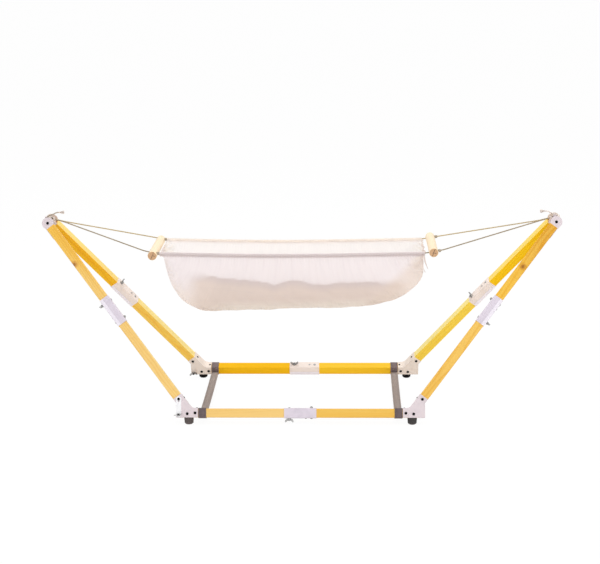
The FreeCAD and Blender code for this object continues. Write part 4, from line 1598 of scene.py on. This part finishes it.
@dataclass
class SoftPad:
    """The mattress: a quilted pad that lines the cloth's bottom and comes up its sides."""

    shop: Workshop
    edge: tuple[Pair, ...] = (
        (-0.395, 0.5570),
        (-0.300, 0.5430),
        (-0.200, 0.5334),
        (-0.100, 0.5170),
        (-0.020, 0.5330),
        (0.070, 0.5140),
        (0.190, 0.5250),
        (0.335, 0.5270),
    )
    thickness: float = 0.030
    clearance: float = 0.0095
    columns: int = 72
    rows: int = 48
    layers: int = 6
    fill: float = 0.6
    voxel: float = 0.006
    air_pressure: float = 4.0
    air_frames: int = 20
    most_swell: float = 0.005
    seam_depth: float = 0.0075
    seam_width: float = 0.008
    piping_radius: float = 0.0032
    piping_out: float = 0.0035
    style: PadCover = PadCover("quilted_cover", srgb(247, 236, 223), srgb(224, 206, 189))
    piping_style: PlainCotton = PlainCotton("piping_cotton", srgb(244, 230, 216), srgb(222, 203, 186))
    sections: list[list[Vector]] = field(default_factory=list)

    def edge_height(self, x: float) -> float:
        """Height of the pad's edge at an x."""
        for first, second in zip(self.edge, self.edge[1:]):
            if x <= second[0]:
                return first[1] + (second[1] - first[1]) * smooth(first[0], second[0], x)
        return self.edge[-1][1]

    def measure(self, tub: ClothTub) -> None:
        """Read the cloth's lines from the keel up to the pad's edge.

        Args:
            tub: The cloth that the pad lies in.
        """
        keel = even_steps(tub.keel(), tub.keel_step)
        last = len(keel) - 1
        numbers = [n for n, spot in enumerate(keel) if self.edge[0][0] <= spot.x <= self.edge[-1][0]]
        for column in range(self.columns + 1):
            share = (numbers[0] + (numbers[-1] - numbers[0]) * column / self.columns) / last
            rib = even_steps(tub.rib(share, keel[round(share * last)]), tub.rib_step)
            kept = [spot for spot in rib if spot.z <= self.edge_height(spot.x)]
            self.sections.append(kept[::-1])

    def place(self, a: float, b: float, c: float) -> Vector:
        """Place in the pad.

        Args:
            a: From -1 at the left end to 1 at the right end.
            b: From -1 at the front edge to 1 at the back edge.
            c: From -1 at the underside to 1 at the upper side.

        Returns:
            The point.
        """
        line = self.sections[round((a + 1) / 2 * self.columns)]
        done = abs(b) * (len(line) - 1)
        number = min(len(line) - 2, int(done))
        spot = line[number].lerp(line[number + 1], done - number)
        run = line[number + 1] - line[max(0, number - 1)]
        inward = Vector((0, run.z, -run.y)).normalized()
        thick = self.thickness * (1 - 0.45 * abs(b) ** 6) * (1 - 0.4 * abs(a) ** 10)
        found = spot + inward * (self.clearance + thick * (c + 1) / 2)
        return found if b < 0 else Vector((found.x, -found.y, found.z))

    def laid(self) -> bpy.types.Mesh:
        """The pad laid in the cloth, before it swells, from a block with even faces."""
        work = bmesh.new()
        bmesh.ops.create_cube(work, size=2.0)
        for axis, parts in enumerate((self.columns, self.rows, self.layers)):
            edges = [edge for edge in work.edges if abs(edge.verts[0].co[axis] - edge.verts[1].co[axis]) > 1]
            bmesh.ops.subdivide_edges(work, edges=edges, cuts=parts - 1, use_grid_fill=True)
        for vert in work.verts:
            vert.co = self.place(*vert.co)
        return self.shop.mesh_of(work, "pad_laid")

    def piping(self) -> bpy.types.Mesh:
        """Round piping along the pad's edge."""
        lengthwise = [-1 + 2 * step / self.columns for step in range(self.columns)]
        crosswise = [-1 + 2 * step / self.rows for step in range(self.rows)]
        rim = [(a, -1.0) for a in lengthwise] + [(1.0, b) for b in crosswise]
        rim += [(-a, 1.0) for a in lengthwise] + [(-1.0, -b) for b in crosswise]
        line = []
        for a, b in rim:
            spot = self.place(a, b, 0.0)
            if abs(b) == 1.0:
                spot.z += self.piping_out
            if abs(a) == 1.0:
                spot.x += math.copysign(self.piping_out, a)
            line.append(spot)
        return self.shop.tubes("pad_piping", [line + line[:1]], self.piping_radius, 3)

    def swollen(self, mesh: bpy.types.Mesh) -> bpy.types.Mesh:
        """Puff the pad up with a short cloth simulation.

        Args:
            mesh: The pad as laid.

        Returns:
            The puffed mesh, with no modifier left.
        """
        scene = bpy.context.scene
        obj = placed("pad_swelling", mesh)
        even = obj.modifiers.new("even", "REMESH")
        even.mode = "VOXEL"
        even.voxel_size = self.voxel
        bpy.context.view_layer.update()
        obj.data = bpy.data.meshes.new_from_object(obj.evaluated_get(bpy.context.evaluated_depsgraph_get()))
        obj.modifiers.clear()
        before = [vertex.co.copy() for vertex in obj.data.vertices]
        air = obj.modifiers.new("air", "CLOTH")
        air.settings.use_pressure = True
        air.settings.uniform_pressure_force = self.air_pressure
        air.settings.effector_weights.gravity = 0.0
        air.point_cache.frame_end = self.air_frames
        for number in range(1, self.air_frames + 1):
            scene.frame_set(number)
        done = bpy.data.meshes.new_from_object(obj.evaluated_get(bpy.context.evaluated_depsgraph_get()))
        bpy.data.objects.remove(obj)
        scene.frame_set(1)
        for vertex, start in zip(done.vertices, before):
            move = vertex.co - start
            if move.length > self.most_swell:
                vertex.co = start + move.normalized() * self.most_swell
        LOG.info("pad swelled to %d points", len(done.vertices))
        return done

    def sewn(self, mesh: bpy.types.Mesh) -> bpy.types.Mesh:
        """Pull the upper cover down along the seams.

        Args:
            mesh: The puffed pad.

        Returns:
            The same pad with its seams.
        """
        work = bmesh.new()
        work.from_mesh(mesh)
        axes = {"use_axis_x": True, "use_axis_y": True, "use_axis_z": True}
        bmesh.ops.smooth_vert(work, verts=work.verts[:], factor=0.5, **axes)
        work.normal_update()
        gap = self.style.seam_gap

        def pull(distance: float) -> float:
            """Share of a seam's full depth at a distance from it."""
            return math.exp(-((distance / self.seam_width) ** 2))

        moves = []
        for vert in work.verts:
            along = (vert.co.x - self.style.seam_start) / gap
            to_cross = abs(along - round(along)) * gap
            to_long = min(abs(vert.co.y), abs(abs(vert.co.y) - self.style.seam_out))
            inside = vert.normal.z > -0.15 and vert.normal.y * vert.co.y < 0.02
            depth = self.seam_depth * min(1.0, pull(to_cross) + 0.7 * pull(to_long)) if inside else 0.0
            moves.append((vert, vert.normal * -depth))
        for vert, move in moves:
            vert.co += move
        return self.shop.mesh_of(work, "quilted_pad")

    def build(self, tub: ClothTub) -> None:
        """Args:
            tub: The cloth that it lies in.
        """
        self.measure(tub)
        mesh = self.laid()
        mesh = self.swollen(mesh)
        slot = "mattress_cover"
        obj = self.shop.piece("quilted_pad", self.sewn(mesh), self.style, "hammock", slot, ["mattress"])
        rounded = obj.modifiers.new("rounded", "SUBSURF")
        rounded.levels = 1
        rounded.render_levels = 1
        self.shop.piece("pad_piping", self.piping(), self.piping_style, "hammock", slot)


@dataclass
class StrapWork:
    """Webbing loops round the rails and the spans that stop the frames from spreading."""

    shop: Workshop
    centre_x: float = 0.380
    width: float = 0.030
    thickness: float = 0.002
    bar_half: float = 0.0175
    gap: float = 0.0003
    drop: float = 0.006
    bend: float = 0.0028
    bend_steps: int = 4
    sag: float = 0.0030
    span_steps: int = 40
    slot: str = "grey_webbing"
    loop_style: Webbing = Webbing("dark_webbing", srgb(128, 112, 114), srgb(86, 74, 76))
    # Lighter copy of the loops' webbing: painted light on the back loops.
    back_loop_style: Webbing = Webbing("faded_webbing", srgb(147, 127, 126), srgb(103, 88, 87))
    span_style: Webbing = Webbing("grey_webbing", srgb(190, 174, 166), srgb(142, 128, 122))

    def band(self, work: bmesh.types.BMesh, end: End, path: Sequence[Pair]) -> None:
        """Add a strap's sheet along a path in its side view, with its UV map.

        Args:
            work: The bmesh to add to.
            end: The end of the cradle that it is at.
            path: Points of the side view.
        """
        layer = work.loops.layers.uv.verify()
        left = end.value * self.centre_x - self.width / 2
        starts = [work.verts.new((x, *path[0])) for x in (left, left + self.width)]
        row = [work.edges.new(starts)]
        reach = 0.0
        before = path[0]
        for point in path[1:]:
            made = bmesh.ops.extrude_edge_only(work, edges=row)["geom"]
            fresh = [item for item in made if isinstance(item, bmesh.types.BMVert)]
            shift = Vector((0, point[0] - before[0], point[1] - before[1]))
            bmesh.ops.translate(work, verts=fresh, vec=shift)
            row = [item for item in made if isinstance(item, bmesh.types.BMEdge)]
            faces = [item for item in made if isinstance(item, bmesh.types.BMFace)]
            step = math.dist(before, point)
            for face in faces:
                for loop in face.loops:
                    ahead = loop.vert in fresh
                    loop[layer].uv = (loop.vert.co.x - left, reach + (step if ahead else 0.0))
            reach += step
            before = point

    def loop_path(self) -> list[Pair]:
        """Side view of a loop: a square with rounded corners, at the middle of the webbing."""
        inner = self.bar_half + self.gap + self.thickness / 2 - self.bend
        path = []
        for number in range(4):
            corner = math.radians(45 + 90 * number)
            y = math.copysign(inner, math.cos(corner))
            z = math.copysign(inner, math.sin(corner))
            for step in range(self.bend_steps + 1):
                angle = math.radians(90 * number + 90 * step / self.bend_steps)
                path.append((y + self.bend * math.cos(angle), z + self.bend * math.sin(angle)))
        return path + path[:1]

    def build_loops(self) -> None:
        """Make the four loops, one piece for each frame."""
        for side, style in ((Side.FRONT, self.loop_style), (Side.BACK, self.back_loop_style)):
            work = bmesh.new()
            for end in End:
                self.band(work, end, self.loop_path())
            bmesh.ops.remove_doubles(work, verts=work.verts[:], dist=1e-6)
            bmesh.ops.transform(work, matrix=LeaningFrame(side).matrix(), verts=work.verts[:])
            name = f"{side.word}_strap_bands"
            mesh = self.shop.mesh_of(work, name)
            nodes = [f"{side.word}_strap_loops"]
            obj = self.shop.piece(name, mesh, style, f"{side.word}_frame", self.slot, nodes)
            self.shop.thicken(obj, self.thickness, True)

    def build_spans(self) -> None:
        """Make the two spans, which sag between the frames."""
        outer = self.bar_half + self.gap + self.thickness + self.gap
        start, goal = (
            LeaningFrame(side).matrix() @ Vector((0, -self.drop, side.value * outer)) for side in Side
        )
        path = []
        for step in range(self.span_steps + 1):
            share = step / self.span_steps
            sag = self.sag * math.sin(math.pi * share)
            path.append((start.y + (goal.y - start.y) * share, start.z + self.thickness / 2 - sag))
        for end in End:
            work = bmesh.new()
            self.band(work, end, path)
            name = f"{end.word}_strap"
            mesh = self.shop.mesh_of(work, name)
            obj = self.shop.piece(name, mesh, self.span_style, None, self.slot, [f"{end.word}_strap_span"])
            self.shop.thicken(obj, self.thickness, True)
            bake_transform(obj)

    def build(self) -> None:
        """Make loops and spans."""
        self.build_loops()
        self.build_spans()


@dataclass(frozen=True)
class FrameFinish:
    """Finishes of one leaning frame: the back one has deeper gold wood, warmer paint that is a painted
    reflection of that wood, and darker rubber that is painted shade.
    """

    paint: WhitePaint
    coupling: WhitePaint
    rubber: BlackRubber
    bars: dict[str, Stock]
    link: WhitePaint

    def bar(self, name: str, part: str, along: Vector) -> PaleWood:
        """Wood of one bar.

        Args:
            name: The finish's name.
            part: Which bar.
            along: Direction of the grain.

        Returns:
            The finish.
        """
        return PaleWood(name, tuple(along), self.bars[part])

    def wrapped(self, name: str, lap: tuple[Vector, float]) -> LappedPaint:
        """Coat of one coupling, with its lap."""
        return LappedPaint(name, self.coupling.colour, self.coupling.shade, tuple(lap[0]), lap[1])


@dataclass
class Stand:
    """The wooden frames and their metal, all CAD nodes that only need a finish."""

    shop: Workshop
    front: FrameFinish = FrameFinish(
        WhitePaint("white_coat", srgb(225, 212, 216), srgb(208, 196, 200)),
        WhitePaint("lilac_coat", srgb(222, 212, 224), srgb(202, 193, 206)),
        BlackRubber("rubber", srgb(54, 51, 50), srgb(118, 104, 102)),
        {
            "rail_left": Stock(WoodTone.STRAW, Lacquer.FRESH),
            # The right rail and right legs take deeper tones than the left: painted shade, as the key lamp
            # falls from the left.
            "rail_right": Stock(WoodTone.HONEY),
            "left_leg_lower": Stock(WoodTone.STRAW, Lacquer.FRESH, 0.3),
            "left_leg_upper": Stock(
                WoodTone.STRAW, Lacquer.WORN, heartwood=WoodTone.AMBER, knot=(-0.8905, -0.104, 0.590),
            ),
            "right_leg_lower": Stock(WoodTone.HONEY, Lacquer.WORN),
            "right_leg_upper": Stock(
                WoodTone.AMBER, heartwood=WoodTone.OCHRE, knot=(0.8664, -0.107, 0.579),
            ),
        },
        # Whiter copy of the paint: painted highlight on the lock link.
        WhitePaint("bright_coat", srgb(252, 252, 254), srgb(240, 239, 243)),
    )
    back: FrameFinish = FrameFinish(
        # Warmer paint on the back frame: painted reflection of its yellow wood.
        WhitePaint("warm_coat", srgb(246, 232, 220), srgb(226, 210, 198)),
        WhitePaint("cream_coat", srgb(247, 233, 224), srgb(226, 211, 202)),
        # Darker copy of the rubber: painted shade on the back feet.
        BlackRubber("dark_rubber", srgb(8, 5, 5), srgb(20, 15, 13), 0.12),
        {
            "rail_left": Stock(WoodTone.DEEP_GOLD, Lacquer.RUBBED),
            "rail_right": Stock(WoodTone.GOLD),
            "left_leg_lower": Stock(WoodTone.MARIGOLD, Lacquer.DULL, 0.6),
            "left_leg_upper": Stock(WoodTone.DEEP_GOLD, Lacquer.DULL, 0.5),
            "right_leg_lower": Stock(WoodTone.PALE_GOLD, Lacquer.WORN, 0.6),
            "right_leg_upper": Stock(WoodTone.GOLD, Lacquer.RUBBED, 0.45),
        },
        # Warmer link coat: painted reflection of the yellow wood.
        WhitePaint("link_coat", srgb(240, 228, 218), srgb(222, 208, 198)),
    )
    black: PlainMetal = PlainMetal("black_oxide", srgb(5, 5, 6), srgb(13, 12, 12), 0.0, 0.5, 0.12)
    zinc: PlainMetal = PlainMetal("zinc_plate", srgb(168, 167, 166), srgb(120, 118, 118), 0.9, 0.3)
    dowel_end: Colour = srgb(211, 170, 138)
    dowel_hearts: tuple[tuple[End, Pair], ...] = ((End.LEFT, (-0.576, 0.634)), (End.RIGHT, (0.5165, 0.6445)))

    def build_frame(self, side: Side, finish: FrameFinish) -> None:
        """Give every node of one frame its finish.

        Args:
            side: Which frame.
            finish: Its paint, rubber and wood.
        """
        plane = LeaningFrame(side)
        shop = self.shop
        name = side.word
        for end in End:
            rail = f"rail_{end.word}"
            shop.dress(f"{name}_{rail}", finish.bar(f"wood_{name}_{rail}", rail, Vector((1, 0, 0))))
            for part in (f"{end.word}_leg_lower", f"{end.word}_leg_upper"):
                wood = finish.bar(f"wood_{name}_{part}", part, plane.leg_direction(end))
                shop.dress(f"{name}_{part}", wood)
            for part in ("corner_bracket", "peak_cap"):
                shop.dress(f"{name}_{end.word}_{part}", finish.paint)
            coat = finish.wrapped(f"coat_{name}_{end.word}_coupling", plane.leg_lap(end))
            shop.dress(f"{name}_{end.word}_leg_coupling", coat)
            shop.dress(f"{name}_{end.word}_foot", finish.rubber)
            shop.dress(f"{name}_{end.word}_leg_wing_nut", self.zinc)
        shop.dress(f"{name}_left_lock_wing_nut", self.zinc)
        coat = finish.wrapped(f"coat_{name}_rail_coupling", plane.rail_lap())
        shop.dress(f"{name}_rail_coupling", coat if side is Side.BACK else finish.coupling)
        shop.dress(f"{name}_lock_link", finish.link)
        shop.dress(f"{name}_rail_wing_nut", self.zinc)
        shop.dress(f"{name}_black_fasteners", self.black)
        shop.dress(f"{name}_zinc_fasteners", self.zinc)

    def build(self) -> None:
        """Give both frames, the hinge pins and the dowels their finish."""
        self.build_frame(Side.FRONT, self.front)
        self.build_frame(Side.BACK, self.back)
        self.shop.dress("hinge_pins", self.zinc)
        birch = Stock(WoodTone.BIRCH, Lacquer.FRESH)
        for end, heart in self.dowel_hearts:
            dowel = PaleWood(f"wood_{end.word}_dowel", (0.0, 1.0, 0.0), birch, self.dowel_end, heart)
            self.shop.dress(f"{end.word}_spreader_dowel", dowel)


@dataclass
class Studio:
    """Camera, soft light, floor and world."""

    camera_at: Spot = (0.1873, -5.7767, 1.9388)
    yaw: float = -0.0335
    pitch: float = 0.2453
    roll: float = -0.0095
    focal_pixels: float = 1491.2478
    image_width: int = 600
    sensor: float = 36.0
    floor_half: float = 30.0
    floor_colour: Colour = srgb(246, 245, 245)
    floor_glow: float = 1.03
    floor_share: float = 0.92
    room_light: float = 0.52
    room_shown: float = 1.02
    lamps: tuple[tuple[str, Spot, float, float, float], ...] = (
        ("over", (0.0, 0.4, 3.4), 0.3, 3.6, 60.0),
        ("key", (-2.6, -3.4, 3.6), 0.4, 3.0, 36.0),
        ("fill", (3.4, -2.6, 2.2), 0.4, 3.0, 37.0),
        ("low", (0.2, -4.0, 0.5), 0.45, 2.4, 16.0),
    )

    def camera(self) -> None:
        """Set the camera at the photograph's viewpoint."""
        data = bpy.data.cameras.new("view")
        data.sensor_width = self.sensor
        data.lens = self.focal_pixels / self.image_width * self.sensor
        obj = placed("view", data)
        ahead = Vector((
            math.sin(self.yaw) * math.cos(self.pitch),
            math.cos(self.yaw) * math.cos(self.pitch),
            -math.sin(self.pitch),
        ))
        right = Vector((math.cos(self.yaw), -math.sin(self.yaw), 0))
        up = right.cross(ahead)
        turned_right = right * math.cos(self.roll) + up * math.sin(self.roll)
        turned_up = up * math.cos(self.roll) - right * math.sin(self.roll)
        turn = Matrix((turned_right, turned_up, -ahead)).transposed()
        obj.matrix_world = Matrix.Translation(self.camera_at) @ turn.to_4x4()
        bpy.context.scene.camera = obj

    def light(self) -> None:
        """Add the soft lamps, each aimed at a height on the cradle's middle."""
        for name, spot, aim, size, power in self.lamps:
            data = bpy.data.lights.new(name, "AREA")
            data.size = size
            data.energy = power
            obj = placed(name, data)
            obj.location = spot
            obj.rotation_euler = (Vector((0, 0, aim)) - Vector(spot)).to_track_quat("-Z", "Y").to_euler()

    def floor(self) -> None:
        """Lay the pale floor, which shows white to the camera and keeps a soft shadow."""
        work = bmesh.new()
        bmesh.ops.create_grid(work, x_segments=1, y_segments=1, size=self.floor_half)
        mesh = Workshop.mesh_of(work, "floor")
        obj = placed("floor", mesh)
        book = FinishBook("pale_floor")
        book.set(Base_Color=self.floor_colour, Roughness=0.9)
        white = book.put("ShaderNodeEmission", {}, {"Color": WHITE, "Strength": self.floor_glow})
        book.show(book.looked_at() * self.floor_share, book.surface, white)
        mesh.materials.append(book.material)

    def world(self) -> None:
        """Light the room evenly and show white behind the object."""
        world = bpy.data.worlds.new("room")
        bpy.context.scene.world = world
        book = NodeBook(world, "ShaderNodeOutputWorld")
        lit, shown = (
            book.put("ShaderNodeBackground", {}, {"Color": WHITE, "Strength": strength})
            for strength in (self.room_light, self.room_shown)
        )
        book.show(book.looked_at(), lit, shown)

    def build(self) -> None:
        """Set up the whole studio."""
        self.camera()
        self.floor()
        self.world()
        self.light()
        bpy.context.scene.view_settings.view_transform = "Standard"


def main() -> None:
    """Build every class in order."""
    logging.basicConfig(level=logging.INFO)
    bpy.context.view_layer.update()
    shop = Workshop(frame)
    Studio().build()
    ropes = RopeWork(shop)
    ropes.build()
    Stand(shop).build()
    pad = SoftPad(shop)
    tub = ClothTub(shop, ropes, pad)
    tub.build()
    pad.build(tub)
    StrapWork(shop).build()
    bpy.context.view_layer.update()


if __name__ == "__main__":
    main()
